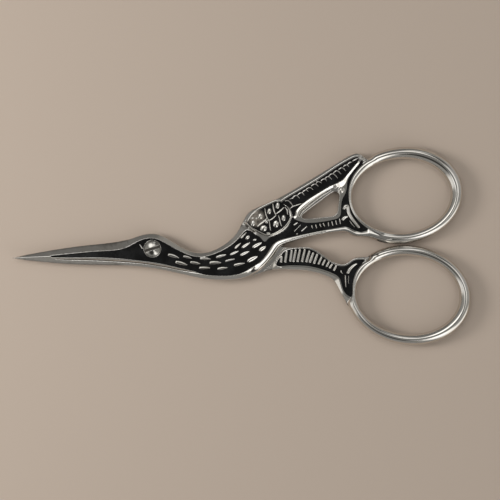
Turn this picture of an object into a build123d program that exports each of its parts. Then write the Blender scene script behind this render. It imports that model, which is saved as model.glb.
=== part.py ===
# Embroidery scissors in the shape of a stork, closed, lying on their back face.
# Two forged halves cross at the bird's eye, where a slotted screw holds them.
# Millimetres. The origin is on the screw's axis, in the plane of the back face.
# +X runs from the eye towards the finger rings, +Y from the leg towards the tail,
# +Z out of the front face.
import math
import os

from build123d import *

os.makedirs("parts", exist_ok=True)

# driving dimensions
THICK = 3.6            # closed pair at the body and the rings
MATE = 1.8             # height of the plane on which the halves slide
GAP = 0.015            # each half stops this far from that plane
BEAK_START = -6.0      # the blades thin out from here to the tip
BEAK_TIP = -36.0
BEAK_THIN = 1.25       # how much each blade has lost at the tip
EDGE_LAND = 0.2        # flat left beside each cutting edge
RECESS = 0.45          # depth of the black fields
LACQUER = 0.25         # thickness of the black lacquer in them
LACQUER_SIDE = 0.04    # bare strip between the lacquer and the wall
RING_ROUND = 1.0       # rounding of the finger rings' edges
RING_WEB = 1.15        # how far the webs stop short of a ring's opening
HEAD_R = 1.95          # screw head, the bird's eye
HEAD_SEAT_R = 2.04
HEAD_BOTTOM = 3.0
HEAD_RIM = 3.42
HEAD_TOP = 3.95
SHANK_R = 1.25         # plain part of the screw, in the front half's hole
HOLE_R = 1.29
THREAD_R = 1.0         # screwed and riveted end, in the back half
SLOT_WIDTH = 0.5
SLOT_DEPTH = 0.35
SLOT_ANGLE = 14.5
BOSS_R = 2.5           # flat land round the screw's end on the back face

# finger rings: centre x, centre y, half width, half height, tilt in degrees
UPPER_OUT = (62.97, 11.14, 15.30, 12.07, 6.44)
UPPER_IN = (62.79, 11.00, 12.30, 9.20, 1.94)
LOWER_OUT = (63.77, -13.93, 15.65, 12.45, -10.56)
LOWER_IN = (63.49, -13.84, 12.95, 9.75, -8.06)

# front half, upper edge from the beak's tip over the head, neck, back and tail
FRONT_TOP = [(-35.41, -1.1), (-33.14, -0.63), (-30.63, -0.22), (-28.11, 0.14), (-25.6, 0.5),
    (-23.09, 0.81), (-20.57, 1.09), (-18.06, 1.33), (-15.56, 1.51), (-13.05, 1.67),
    (-10.54, 1.86), (-8.03, 2.16), (-5.51, 2.67), (-3.74, 3.24), (-1.97, 3.67), (-0.21, 3.84),
    (1.53, 3.57), (3.25, 2.81), (4.96, 1.65), (6.92, 0.35), (8.88, -0.69), (10.86, -1.34),
    (12.86, -1.46), (14.87, -1.06), (16.9, -0.18), (18.7, 0.93), (20.24, 2.2), (21.55, 3.78),
    (22.56, 5.54), (23.56, 7.38), (24.72, 8.54), (26.25, 9.29), (28.53, 10.18), (31.07, 11.19),
    (33.62, 12.42), (37.44, 14.46), (42.55, 17.28), (47.66, 20.22), (50.21, 21.58),
    (51.48, 22.04), (52.48, 22.08), (53.45, 21.39)]
# front half, lower edge from the ring back to the beak's tip
FRONT_BOTTOM = [(53.48, 1.13), (51.97, 1.13), (50.85, 1.1), (49.98, 1.43), (49.26, 2.08),
    (48.52, 2.43), (47.02, 2.49), (44.51, 2.33), (42.0, 2.04), (39.48, 1.63), (36.96, 1.05),
    (34.44, 0.36), (33.17, -0.02), (32.16, -0.43), (31.64, -0.84), (31.24, -1.45),
    (30.58, -2.43), (29.54, -3.64), (28.5, -4.75), (27.2, -5.96), (25.92, -6.84), (24.14, -7.65),
    (22.37, -8.13), (20.36, -8.41), (17.86, -8.47), (15.36, -8.38), (12.87, -8.04),
    (10.39, -7.53), (7.91, -6.86), (5.43, -6.22), (2.95, -5.58), (0.47, -5.05), (-2.02, -4.61),
    (-4.51, -4.27), (-7.0, -4.0), (-9.49, -3.81), (-11.99, -3.67), (-14.49, -3.53),
    (-16.98, -3.39), (-19.48, -3.23), (-21.97, -3.01), (-24.46, -2.75), (-26.95, -2.43),
    (-29.44, -2.07), (-31.93, -1.73), (-33.92, -1.43), (-35.41, -1.1)]
# back half, upper edge: hidden under the front half as far as the thigh, then the leg
BACK_TOP = [(-35.41, -1.1), (-33.15, -0.73), (-30.63, -0.32), (-28.12, -0.09), (-25.61, 0.27),
    (-23.09, 0.58), (-20.58, 0.87), (-18.07, 1.1), (-15.56, 1.29), (-13.06, 1.45),
    (-10.55, 1.63), (-8.04, 1.94), (-5.52, 2.45), (-3.74, 3.01), (-1.98, 3.45), (-0.22, 3.61),
    (1.52, 3.35), (3.25, 2.59), (4.95, 1.42), (6.91, 0.13), (8.87, -0.92), (10.85, -1.57),
    (12.85, -1.69), (14.86, -1.29), (16.9, -0.41), (18.43, 0.44), (19.7, 1.07), (21.21, 1.31),
    (23.21, 1.14), (24.94, 0.73), (26.43, 0.28), (27.92, -0.05), (29.41, -0.31), (30.9, -0.49),
    (32.15, -0.61), (33.14, -0.84), (34.39, -0.94), (35.64, -0.98), (36.89, -0.95),
    (38.14, -0.9), (39.14, -1.03), (40.12, -1.42), (41.1, -2.0), (42.08, -2.74), (43.05, -3.5),
    (44.02, -4.29), (45.0, -4.9), (46.24, -5.39), (47.48, -5.61), (48.49, -5.4), (49.26, -4.85),
    (50.03, -4.3), (50.79, -3.98), (51.79, -3.94), (53.29, -3.99)]
# back half, lower edge of the leg from the ring to the body
BACK_BOTTOM = [(48.83, -16.84), (47.89, -15.06), (47.19, -13.78), (46.6, -12.63),
    (46.09, -11.49), (45.56, -10.34), (44.96, -9.45), (44.11, -8.82), (42.88, -8.27),
    (41.65, -7.78), (40.41, -7.41), (39.17, -7.09), (37.93, -6.82), (36.68, -6.65),
    (34.19, -6.51), (32.94, -6.41), (31.69, -6.34), (30.44, -6.32), (29.19, -6.43),
    (27.93, -6.68), (26.16, -7.22), (25.15, -7.48), (24.14, -7.65)]
# back half, lower edge of the body, neck and beak
BACK_BELLY = [(24.14, -7.65), (22.37, -8.13), (20.36, -8.41), (17.86, -8.47), (15.36, -8.38),
    (12.87, -8.04), (10.39, -7.53), (7.91, -6.86), (5.43, -6.22), (2.95, -5.58), (0.47, -5.05),
    (-2.02, -4.61), (-4.51, -4.27), (-7.0, -4.0), (-9.49, -3.81), (-11.99, -3.67),
    (-14.49, -3.53), (-16.98, -3.39), (-19.48, -3.23), (-21.97, -3.01), (-24.46, -2.75),
    (-26.95, -2.43), (-29.44, -2.07), (-31.93, -1.73), (-33.92, -1.43), (-35.41, -1.1)]
# front half, where its full thickness begins, clear of the back half's edge
STEP_LINE = [(18.05, 3.78), (19.25, 2.43), (20.48, 1.84), (21.73, 1.8), (23.22, 1.57),
    (24.96, 1.15), (26.44, 0.7), (27.93, 0.35), (29.42, 0.07), (30.92, -0.14), (32.16, -0.23),
    (33.42, -0.18), (34.92, -0.08)]
# back half, where its full thickness begins, clear of the front half's edge
LEG_EDGE = [(27.17, -6.88), (28.02, -6.29), (29.1, -5.37), (30.26, -4.34), (31.06, -3.19),
    (31.77, -2.07), (32.45, -1.34), (33.14, -0.84)]
# black fields, front face of the front half
FIELD_BODY = [(-25.65, -0.98), (-23.14, -0.72), (-20.63, -0.56), (-18.13, -0.42),
    (-15.62, -0.26), (-13.11, -0.18), (-10.61, -0.14), (-8.61, -0.02), (-6.59, 0.46),
    (-5.06, 1.16), (-3.53, 1.9), (-2.02, 2.4), (-0.51, 2.59), (0.99, 2.39), (2.46, 1.71),
    (3.93, 0.83), (5.4, -0.07), (6.87, -0.9), (8.35, -1.63), (9.83, -2.18), (11.32, -2.48),
    (12.82, -2.49), (14.33, -2.22), (15.85, -1.72), (17.37, -1.1), (18.9, -0.3), (20.18, 0.55),
    (21.21, 1.41), (22.25, 2.48), (23.04, 3.35), (23.68, 3.78), (24.3, 3.65), (25.03, 3.15),
    (25.76, 2.5), (26.74, 1.92), (27.34, 1.24), (27.82, 0.63), (28.44, 0.65), (29.33, 1.07),
    (30.22, 1.46), (31.23, 1.65), (32.5, 2.13), (33.78, 3.01), (34.82, 4.18), (35.37, 5.53),
    (35.74, 5.94), (36.87, 5.45), (38.35, 5.0), (40.85, 4.91), (43.36, 5.14), (45.38, 5.47),
    (46.64, 5.8), (47.42, 6.6), (47.63, 8.22), (47.78, 9.71), (48.2, 10.95), (48.86, 12.05),
    (49.3, 13.66), (49.42, 14.91), (50.15, 16.51), (51.2, 17.85), (52.19, 18.94), (53.16, 20.15),
    (53.13, 19.48), (51.97, 18.32), (50.92, 16.98), (50.11, 15.51), (49.63, 13.9),
    (49.44, 12.16), (49.51, 10.4), (49.82, 8.64), (50.43, 6.99), (51.38, 5.46), (52.58, 4.09),
    (53.92, 2.94), (53.03, 2.57), (52.14, 2.35), (51.28, 2.58), (50.29, 3.02), (49.31, 3.5),
    (48.32, 3.87), (46.56, 3.65), (44.55, 3.35), (42.03, 2.97), (39.52, 2.56), (37.0, 2.12),
    (34.48, 1.69), (32.21, 1.22), (30.95, 0.71), (29.92, -0.1), (29.13, -1.17), (28.33, -2.35),
    (27.42, -3.46), (26.25, -4.52), (24.97, -5.38), (23.69, -6.13), (22.17, -6.83),
    (20.15, -7.3), (17.9, -7.4), (15.65, -7.29), (13.66, -7.02), (11.68, -6.45), (9.2, -5.71),
    (6.72, -5.04), (4.25, -4.38), (1.77, -3.74), (-0.72, -3.25), (-3.2, -2.84), (-5.69, -2.47),
    (-8.18, -2.13), (-10.67, -1.87), (-13.17, -1.68), (-15.67, -1.56), (-18.17, -1.5),
    (-20.66, -1.43), (-23.16, -1.32), (-25.66, -1.13)]
# tail, then wing; the same shapes are on both faces
FIELD_TAIL = [(32.79, 10.3), (33.56, 10.93), (34.84, 11.68), (37.39, 13.04), (39.94, 14.42),
    (42.5, 15.86), (45.06, 17.42), (47.61, 18.98), (50.16, 20.31), (51.43, 20.84),
    (52.18, 20.86), (52.24, 20.44), (51.38, 19.47), (50.08, 18.01), (49.04, 16.87),
    (48.12, 15.81), (47.23, 15.24), (44.94, 14.32), (42.39, 12.96), (39.84, 11.5),
    (38.05, 10.31), (36.63, 9.11), (35.84, 8.02), (35.53, 7.25), (35.36, 7.96), (35.03, 8.67),
    (34.61, 9.34), (33.98, 9.96)]
# 
FIELD_WING = [(24.12, 5.66), (24.97, 7.13), (26.46, 8.23), (27.99, 9.05), (29.77, 9.86),
    (31.3, 10.46), (32.25, 10.47), (33.03, 9.89), (33.7, 9.12), (34.22, 8.2), (34.48, 7.29),
    (34.25, 6.35), (33.71, 5.32), (32.93, 4.34), (31.85, 3.58), (30.68, 3.0), (29.61, 2.64),
    (28.62, 2.7), (27.43, 3.22), (26.26, 3.88), (25.4, 4.39), (24.74, 4.94)]
# black field on the leg, front face of the back half
FIELD_LEG = [(32.72, -2.05), (33.61, -1.61), (35.12, -1.49), (36.87, -1.48), (38.37, -1.53),
    (39.36, -1.74), (40.59, -2.34), (41.81, -3.21), (43.03, -4.12), (44.25, -5.07),
    (45.47, -5.76), (46.71, -6.18), (47.96, -6.2), (49.1, -5.72), (50.0, -5.08), (51.01, -4.76),
    (52.01, -4.75), (52.76, -4.82), (51.85, -5.69), (50.93, -6.91), (50.21, -8.26),
    (49.78, -9.87), (49.59, -11.62), (49.71, -13.12), (49.27, -13.68), (48.33, -13.2),
    (47.5, -12.09), (47.05, -10.52), (46.68, -9.13), (46.01, -8.28), (44.66, -7.49),
    (42.93, -6.77), (40.96, -6.1), (38.72, -5.57), (36.23, -5.33), (33.73, -5.24),
    (31.73, -5.37), (30.93, -5.29), (30.88, -4.64), (31.59, -3.59), (32.2, -2.73)]
# black field on the back face of the back half
FIELD_BACK_BODY = [(-25.64, -0.55), (-23.13, -0.34), (-20.62, -0.13), (-18.11, 0.03),
    (-15.6, 0.16), (-13.1, 0.3), (-10.59, 0.51), (-8.07, 0.87), (-5.55, 1.43), (-3.53, 2.08),
    (-2.01, 2.42), (-0.51, 2.54), (0.98, 2.34), (2.46, 1.66), (3.93, 0.78), (5.4, -0.17),
    (6.87, -1.0), (8.84, -1.94), (10.81, -2.62), (12.81, -2.74), (14.82, -2.36), (16.86, -1.53),
    (18.39, -0.74), (19.66, -0.03), (21.17, 0.21), (23.17, 0.09), (24.9, -0.32), (26.39, -0.77),
    (27.88, -1.08), (29.37, -1.33), (30.86, -1.56), (32.6, -1.87), (35.1, -1.99), (36.85, -2.0),
    (38.35, -2.05), (39.34, -2.29), (40.57, -2.84), (41.8, -3.63), (43.02, -4.47),
    (44.24, -5.32), (45.47, -5.96), (46.7, -6.31), (47.96, -6.28), (49.1, -5.72), (50.0, -5.08),
    (51.01, -4.76), (52.01, -4.75), (52.76, -4.82), (51.85, -5.69), (50.93, -6.91),
    (50.21, -8.26), (49.78, -9.87), (49.59, -11.62), (49.71, -13.12), (49.27, -13.68),
    (48.33, -13.2), (47.5, -12.09), (47.05, -10.52), (46.68, -9.13), (46.01, -8.28),
    (44.66, -7.49), (42.93, -6.77), (40.96, -6.1), (38.72, -5.57), (36.23, -5.33),
    (33.73, -5.24), (31.73, -5.27), (29.23, -5.38), (27.21, -5.68), (25.45, -6.14),
    (23.67, -6.73), (21.66, -7.16), (19.65, -7.34), (17.65, -7.34), (15.15, -7.17),
    (12.91, -6.79), (10.43, -6.2), (7.96, -5.56), (5.48, -4.88), (3.0, -4.24), (0.52, -3.65),
    (-1.96, -3.11), (-4.45, -2.64), (-6.93, -2.23), (-9.42, -1.89), (-11.92, -1.62),
    (-14.41, -1.41), (-16.9, -1.22), (-19.4, -1.05), (-21.9, -0.89), (-24.39, -0.75)]
# black field behind the shank, back face of the front half
FIELD_BACK_SHANK = [(33.11, 1.64), (34.15, 2.9), (35.07, 4.09), (35.62, 5.42), (36.28, 5.67),
    (36.87, 5.45), (38.35, 5.0), (40.85, 4.91), (43.36, 5.14), (45.38, 5.47), (46.64, 5.8),
    (47.42, 6.6), (47.63, 8.22), (47.78, 9.71), (48.2, 10.95), (48.86, 12.05), (49.3, 13.66),
    (49.42, 14.91), (50.15, 16.51), (51.2, 17.85), (52.19, 18.94), (53.16, 20.15),
    (53.13, 19.48), (51.97, 18.32), (50.92, 16.98), (50.11, 15.51), (49.63, 13.9),
    (49.44, 12.16), (49.51, 10.4), (49.82, 8.64), (50.43, 6.99), (51.38, 5.46), (52.58, 4.09),
    (53.92, 2.94), (53.03, 2.57), (52.14, 2.35), (51.28, 2.58), (50.29, 3.02), (49.31, 3.5),
    (48.32, 3.87), (46.56, 3.65), (44.55, 3.35), (42.03, 2.97), (39.52, 2.56), (37.0, 2.12),
    (34.48, 1.69)]
# window between the tail, the shank and the ring
WINDOW = [(37.54, 6.75), (38.45, 7.65), (40.25, 8.98), (42.3, 10.36), (44.35, 11.79),
    (45.63, 12.54), (46.63, 12.56), (47.18, 11.86), (47.01, 10.49), (46.74, 8.75), (46.5, 7.38),
    (45.79, 6.66), (44.66, 6.45), (42.66, 6.35), (40.15, 6.14), (38.4, 6.15), (37.65, 6.33)]


def ring_arc(ring, extra, start, end, count):
    """Points on a ring's ellipse, made larger by extra, between two parameters."""
    cx, cy, a, b, tilt = ring
    turn = math.radians(tilt)
    points = []
    for i in range(count):
        t = math.radians(start + (end - start) * i / (count - 1))
        u, v = (a + extra) * math.cos(t), (b + extra) * math.sin(t)
        points.append((cx + u * math.cos(turn) - v * math.sin(turn),
                       cy + u * math.sin(turn) + v * math.cos(turn)))
    return points


def inset(points, distance):
    """A closed outline moved inwards, corner by corner."""
    area = sum(p[0] * q[1] - q[0] * p[1] for p, q in zip(points, points[1:] + points[:1]))
    side = 1.0 if area > 0 else -1.0
    moved = []
    for before, here, after in zip(points[-1:] + points[:-1], points, points[1:] + points[:1]):
        ax, ay = here[0] - before[0], here[1] - before[1]
        bx, by = after[0] - here[0], after[1] - here[1]
        la, lb = math.hypot(ax, ay), math.hypot(bx, by)
        nx = -(ay / la + by / lb) * side
        ny = (ax / la + bx / lb) * side
        ln = math.hypot(nx, ny) or 1.0
        nx, ny = nx / ln, ny / ln
        lean = max(0.5, nx * -ay / la * side + ny * ax / la * side)
        moved.append((here[0] + nx * distance / lean, here[1] + ny * distance / lean))
    return moved


def height_at(points, x):
    """Y of an edge at a given X, along its points from left to right."""
    for p, q in zip(points, points[1:]):
        if p[0] <= x <= q[0]:
            return p[1] + (q[1] - p[1]) * (x - p[0]) / (q[0] - p[0])
    return points[0][1] if x < points[0][0] else points[-1][1]


def thinned(x):
    """How much a blade has lost of its thickness at X."""
    return BEAK_THIN * (BEAK_START - x) / (BEAK_START - BEAK_TIP)


# line of the blades' outer faces in the XZ plane, for the front and the back
FRONT_FACE = [(BEAK_TIP, THICK - BEAK_THIN), (BEAK_START, THICK), (80.0, THICK)]
BACK_FACE = [(BEAK_TIP, BEAK_THIN), (BEAK_START, 0.0), (80.0, 0.0)]


def band(line, low, high):
    """Slab that follows a face line between two offsets in Z, as an XZ outline."""
    return ([(x, z + low) for x, z in line] + [(x, z + high) for x, z in reversed(line)])


def field_solid(outline, line, low, high):
    """A field of the decoration: its outline, between two heights off a face."""
    with BuildPart() as solid:
        with BuildSketch(Plane.XY.offset(-1.0)):
            with BuildLine():
                Polyline(*outline, close=True)
            make_face()
        extrude(amount=THICK + 3.0)
        with BuildSketch(Plane.XZ):
            with BuildLine():
                Polyline(*band(line, low, high), close=True)
            make_face()
        extrude(amount=40.0, both=True, mode=Mode.INTERSECT)
    return solid.part


def finger_ring(outer, inner):
    """One finger ring, its four edges rounded over."""
    with BuildPart() as ring:
        with BuildSketch():
            with Locations((outer[0], outer[1])):
                Ellipse(outer[2], outer[3], rotation=outer[4])
            with Locations((inner[0], inner[1])):
                Ellipse(inner[2], inner[3], rotation=inner[4], mode=Mode.SUBTRACT)
        extrude(amount=THICK)
        rims = ring.edges().filter_by(lambda e: e.length > 30.0)
        fillet(rims, radius=RING_ROUND)
    return ring.part


def bevel_tool(edge, side, face_sign, fuller):
    """Wedge that grinds a blade's outer face down to its cutting edge."""
    with BuildPart() as tool:
        for x, width in ((-37.0, 0.35), (-33.0, 0.6), (-28.0, 1.1), (-22.0, 1.55), (-16.0, 1.8),
                         (-10.0, 1.95), (BEAK_START, 1.4), (-3.6, 0.35)):
            y = height_at(edge, x)
            width = width * fuller
            rise = THICK - MATE - max(0.0, thinned(x)) - GAP - EDGE_LAND
            slope = rise / width
            low = MATE + face_sign * (GAP + EDGE_LAND - 0.3 * slope)
            high = MATE + face_sign * (GAP + EDGE_LAND + rise + 0.3 * slope)
            with BuildSketch(Plane.YZ.offset(x)):
                with BuildLine():
                    Polyline((y + side * 0.3, low), (y - side * (width + 0.3), high),
                             (y + side * 0.3, high), close=True)
                make_face()
        loft(ruled=True)
    return tool.part


upper_ring = finger_ring(UPPER_OUT, UPPER_IN)
lower_ring = finger_ring(LOWER_OUT, LOWER_IN)
upper_web = ring_arc(UPPER_IN, RING_WEB, 128.0, 232.0, 15)
lower_web = ring_arc(LOWER_IN, RING_WEB, 138.0, 205.0, 11)
front_bevel = bevel_tool(FRONT_TOP, 1.0, 1.0, 1.0)
back_bevel = bevel_tool(BACK_BELLY[::-1], -1.0, -1.0, 0.9)

# black fields, cut out of the faces
body_pocket = field_solid(FIELD_BODY, FRONT_FACE, -RECESS, 1.5)
tail_pocket = field_solid(FIELD_TAIL, FRONT_FACE, -RECESS, 1.5)
wing_pocket = field_solid(FIELD_WING, FRONT_FACE, -RECESS, 1.5)
leg_pocket = field_solid(FIELD_LEG, FRONT_FACE, -RECESS, 1.5)
back_body_pocket = field_solid(FIELD_BACK_BODY, BACK_FACE, -1.0, RECESS)
back_shank_pocket = field_solid(FIELD_BACK_SHANK, BACK_FACE, -1.0, RECESS)
back_tail_pocket = field_solid(FIELD_TAIL, BACK_FACE, -1.0, RECESS)
back_wing_pocket = field_solid(FIELD_WING, BACK_FACE, -1.0, RECESS)

# front half: beak, head, neck, body, wing, tail, shank and upper ring
with BuildPart() as front_half:
    with BuildSketch(Plane.XY.offset(MATE + GAP)):
        with BuildLine():
            Spline(*FRONT_TOP)
            Polyline(FRONT_TOP[-1], *upper_web, FRONT_BOTTOM[0])
            Spline(*FRONT_BOTTOM)
        make_face()
    extrude(amount=THICK - MATE - GAP)
    # wing, tail and shank go down to the back face as well
    with BuildSketch():
        with BuildLine():
            Spline(*FRONT_TOP)
            Polyline(FRONT_TOP[-1], *upper_web, FRONT_BOTTOM[0])
            Spline(*FRONT_BOTTOM)
        make_face()
        with BuildLine():
            Polyline(*STEP_LINE, (60.0, -12.0), (70.0, 30.0), (18.0, 30.0), close=True)
        make_face(mode=Mode.INTERSECT)
    extrude(amount=MATE + GAP)
    add(upper_ring)
    # the blade thins towards the tip, and is ground along its upper edge
    with BuildSketch(Plane.XZ):
        with BuildLine():
            Polyline((BEAK_START, THICK), (BEAK_START, THICK + 2.0), (BEAK_TIP - 2.0, THICK + 2.0),
                     (BEAK_TIP - 2.0, THICK - thinned(BEAK_TIP - 2.0)), close=True)
        make_face()
    extrude(amount=20.0, both=True, mode=Mode.SUBTRACT)
    add(front_bevel, mode=Mode.SUBTRACT)
    # window between tail, shank and ring
    with BuildSketch(Plane.XY.offset(-1.0)):
        with BuildLine():
            Spline(*WINDOW, periodic=True)
        make_face()
    extrude(amount=THICK + 2.0, mode=Mode.SUBTRACT)
    # black fields on both faces
    for pocket in (body_pocket, tail_pocket, wing_pocket, back_shank_pocket, back_tail_pocket,
                   back_wing_pocket):
        add(pocket, mode=Mode.SUBTRACT)
    # hole for the screw's plain part, and the seat of its head
    with Locations((0, 0, THICK)):
        CounterBoreHole(radius=HOLE_R, counter_bore_radius=HEAD_SEAT_R,
                        counter_bore_depth=THICK - HEAD_BOTTOM, depth=THICK)

# back half: beak, head, neck, body, leg and lower ring
with BuildPart() as back_half:
    with BuildSketch():
        with BuildLine():
            Spline(*BACK_TOP)
            Polyline(BACK_TOP[-1], *lower_web, BACK_BOTTOM[0])
            Spline(*BACK_BOTTOM)
            Spline(*BACK_BELLY)
        make_face()
    extrude(amount=MATE - GAP)
    # the leg fills the whole thickness
    with BuildSketch(Plane.XY.offset(MATE - GAP)):
        with BuildLine():
            Spline(*BACK_TOP)
            Polyline(BACK_TOP[-1], *lower_web, BACK_BOTTOM[0])
            Spline(*BACK_BOTTOM)
            Spline(*BACK_BELLY)
        make_face()
        with BuildLine():
            Polyline((27.0, -9.0), *LEG_EDGE, (34.5, 3.0), (60.0, 3.0), (60.0, -24.0),
                     (40.0, -24.0), close=True)
        make_face(mode=Mode.INTERSECT)
    extrude(amount=THICK - MATE + GAP)
    add(lower_ring)
    with BuildSketch(Plane.XZ):
        with BuildLine():
            Polyline((BEAK_START, 0.0), (BEAK_START, -2.0), (BEAK_TIP - 2.0, -2.0),
                     (BEAK_TIP - 2.0, thinned(BEAK_TIP - 2.0)), close=True)
        make_face()
    extrude(amount=20.0, both=True, mode=Mode.SUBTRACT)
    add(back_bevel, mode=Mode.SUBTRACT)
    add(leg_pocket, mode=Mode.SUBTRACT)
    add(back_body_pocket, mode=Mode.SUBTRACT)
    # flat land round the screw's end, then the threaded hole
    with BuildSketch():
        Circle(BOSS_R)
    extrude(amount=RECESS + 0.3)
    with Locations((0, 0, MATE)):
        Hole(radius=THREAD_R, depth=MATE)

# pivot screw: domed and slotted head, plain shank, riveted end flush with the back
with BuildPart() as pivot_screw:
    with BuildSketch(Plane.XZ):
        with BuildLine():
            Polyline((0.0, HEAD_TOP), (0.0, 0.0), (THREAD_R, 0.0), (THREAD_R, MATE - GAP),
                     (SHANK_R, MATE - GAP), (SHANK_R, HEAD_BOTTOM + 0.02),
                     (HEAD_R, HEAD_BOTTOM + 0.02), (HEAD_R, HEAD_RIM))
            ThreePointArc((HEAD_R, HEAD_RIM), (HEAD_R * 0.55, HEAD_TOP - 0.13), (0.0, HEAD_TOP))
        make_face()
    revolve(axis=Axis.Z, revolution_arc=360.0)
    with Locations(Location((0, 0, HEAD_TOP), (0, 0, SLOT_ANGLE))):
        Box(2 * HEAD_R + 1.0, SLOT_WIDTH, 2 * SLOT_DEPTH, mode=Mode.SUBTRACT)


def lacquer(outline, line, face_sign):
    """Black lacquer on the floor of a field."""
    floor = -face_sign * RECESS
    low, high = sorted((floor, floor + face_sign * LACQUER))
    return field_solid(inset(outline, LACQUER_SIDE), line, low, high)


with BuildPart() as front_body_lacquer:
    add(lacquer(FIELD_BODY, FRONT_FACE, 1.0))
    with Locations((0, 0, THICK)):
        Hole(radius=HEAD_SEAT_R + 0.16, depth=2.0)

with BuildPart() as front_tail_lacquer:
    add(lacquer(FIELD_TAIL, FRONT_FACE, 1.0))

with BuildPart() as front_wing_lacquer:
    add(lacquer(FIELD_WING, FRONT_FACE, 1.0))

with BuildPart() as leg_lacquer:
    add(lacquer(FIELD_LEG, FRONT_FACE, 1.0))

with BuildPart() as back_body_lacquer:
    add(lacquer(FIELD_BACK_BODY, BACK_FACE, -1.0))
    with Locations((0, 0, 1.0)):
        Hole(radius=BOSS_R + 0.05, depth=2.0)

with BuildPart() as back_shank_lacquer:
    add(lacquer(FIELD_BACK_SHANK, BACK_FACE, -1.0))

with BuildPart() as back_tail_lacquer:
    add(lacquer(FIELD_TAIL, BACK_FACE, -1.0))

with BuildPart() as back_wing_lacquer:
    add(lacquer(FIELD_WING, BACK_FACE, -1.0))

for label, block in (
        ("front_half", front_half), ("back_half", back_half), ("pivot_screw", pivot_screw),
        ("front_body_lacquer", front_body_lacquer), ("front_tail_lacquer", front_tail_lacquer),
        ("front_wing_lacquer", front_wing_lacquer), ("leg_lacquer", leg_lacquer),
        ("back_body_lacquer", back_body_lacquer), ("back_shank_lacquer", back_shank_lacquer),
        ("back_tail_lacquer", back_tail_lacquer), ("back_wing_lacquer", back_wing_lacquer)):
    block.part.label = label
    export_step(block.part, f"parts/{label}.step")
    print(label, round(block.part.volume, 2), len(block.part.solids()), block.part.is_valid)
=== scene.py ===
"""Stork embroidery scissors: the sculpted halves, the lacquer in their fields and the screw.

Every shape is worked out in millimetres on a plan (height maps and distances to traced lines),
turned into one closed mesh per piece, and then written in metres.
"""
import math

import bpy
import numpy as np
from mathutils import Matrix, Vector


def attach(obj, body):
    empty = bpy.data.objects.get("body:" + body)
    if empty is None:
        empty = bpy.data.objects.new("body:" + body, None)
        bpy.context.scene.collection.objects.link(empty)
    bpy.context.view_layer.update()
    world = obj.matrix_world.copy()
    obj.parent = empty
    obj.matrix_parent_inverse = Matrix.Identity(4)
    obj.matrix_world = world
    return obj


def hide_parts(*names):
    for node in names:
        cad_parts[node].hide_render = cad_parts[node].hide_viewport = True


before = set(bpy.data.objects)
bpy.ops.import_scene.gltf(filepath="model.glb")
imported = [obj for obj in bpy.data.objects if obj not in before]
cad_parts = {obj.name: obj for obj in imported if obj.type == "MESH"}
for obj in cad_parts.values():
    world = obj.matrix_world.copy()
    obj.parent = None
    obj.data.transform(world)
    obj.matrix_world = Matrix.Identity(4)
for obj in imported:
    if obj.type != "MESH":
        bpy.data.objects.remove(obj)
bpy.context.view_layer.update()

PLAN_STEP = 0.06       # mm between the points of a plan
NET_STEP = 0.105       # mm between the points of a solid's grid
MOST_TRIANGLES = 184000                  # of the two large pieces

THICK = 3.6            # from the back face to the front face
MATE = 1.8             # height where the two halves slide on each other
GAP = 0.015            # clearance on each side of it
RECESS = 0.45          # depth of the fields
LACQUER = 0.25         # thickness of the lacquer in them
HEAD_R, SEAT_R, HEAD_BOTTOM = 1.95, 2.04, 3.0
HEAD_RIM, HEAD_TOP = 3.42, 3.95
SHANK_R, HOLE_R, THREAD_R, BOSS_R = 1.25, 1.29, 1.0, 2.5
SLOT_ANGLE = 14.5

# finger rings: centre, half length, half height, tilt in degrees
UPPER_OUT = (62.97, 11.14, 15.30, 12.07, 6.44)
UPPER_IN = (62.79, 11.00, 12.30, 9.20, 1.94)
LOWER_OUT = (63.77, -13.93, 15.65, 12.45, -10.56)
LOWER_IN = (63.49, -13.84, 12.95, 9.75, -8.06)

# front half, upper edge from the beak's tip over the head, neck, back and tail
FRONT_TOP = [(-35.41, -1.1), (-33.14, -0.63), (-30.63, -0.22), (-28.11, 0.14), (-25.6, 0.5),
    (-23.09, 0.81), (-20.57, 1.09), (-18.06, 1.33), (-15.56, 1.51), (-13.05, 1.67),
    (-10.54, 1.86), (-8.03, 2.16), (-5.51, 2.67), (-3.74, 3.24), (-1.97, 3.67), (-0.21, 3.84),
    (1.53, 3.57), (3.25, 2.81), (4.96, 1.65), (6.92, 0.35), (8.88, -0.69), (10.86, -1.34),
    (12.86, -1.46), (14.87, -1.06), (16.9, -0.18), (18.7, 0.93), (20.24, 2.2), (21.55, 3.78),
    (22.56, 5.54), (23.56, 7.38), (24.72, 8.54), (26.25, 9.29), (28.53, 10.18), (31.07, 11.19),
    (33.62, 12.42), (37.44, 14.46), (42.55, 17.28), (47.66, 20.22), (50.21, 21.58),
    (51.48, 22.04), (52.48, 22.08), (53.45, 21.39)]
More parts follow.
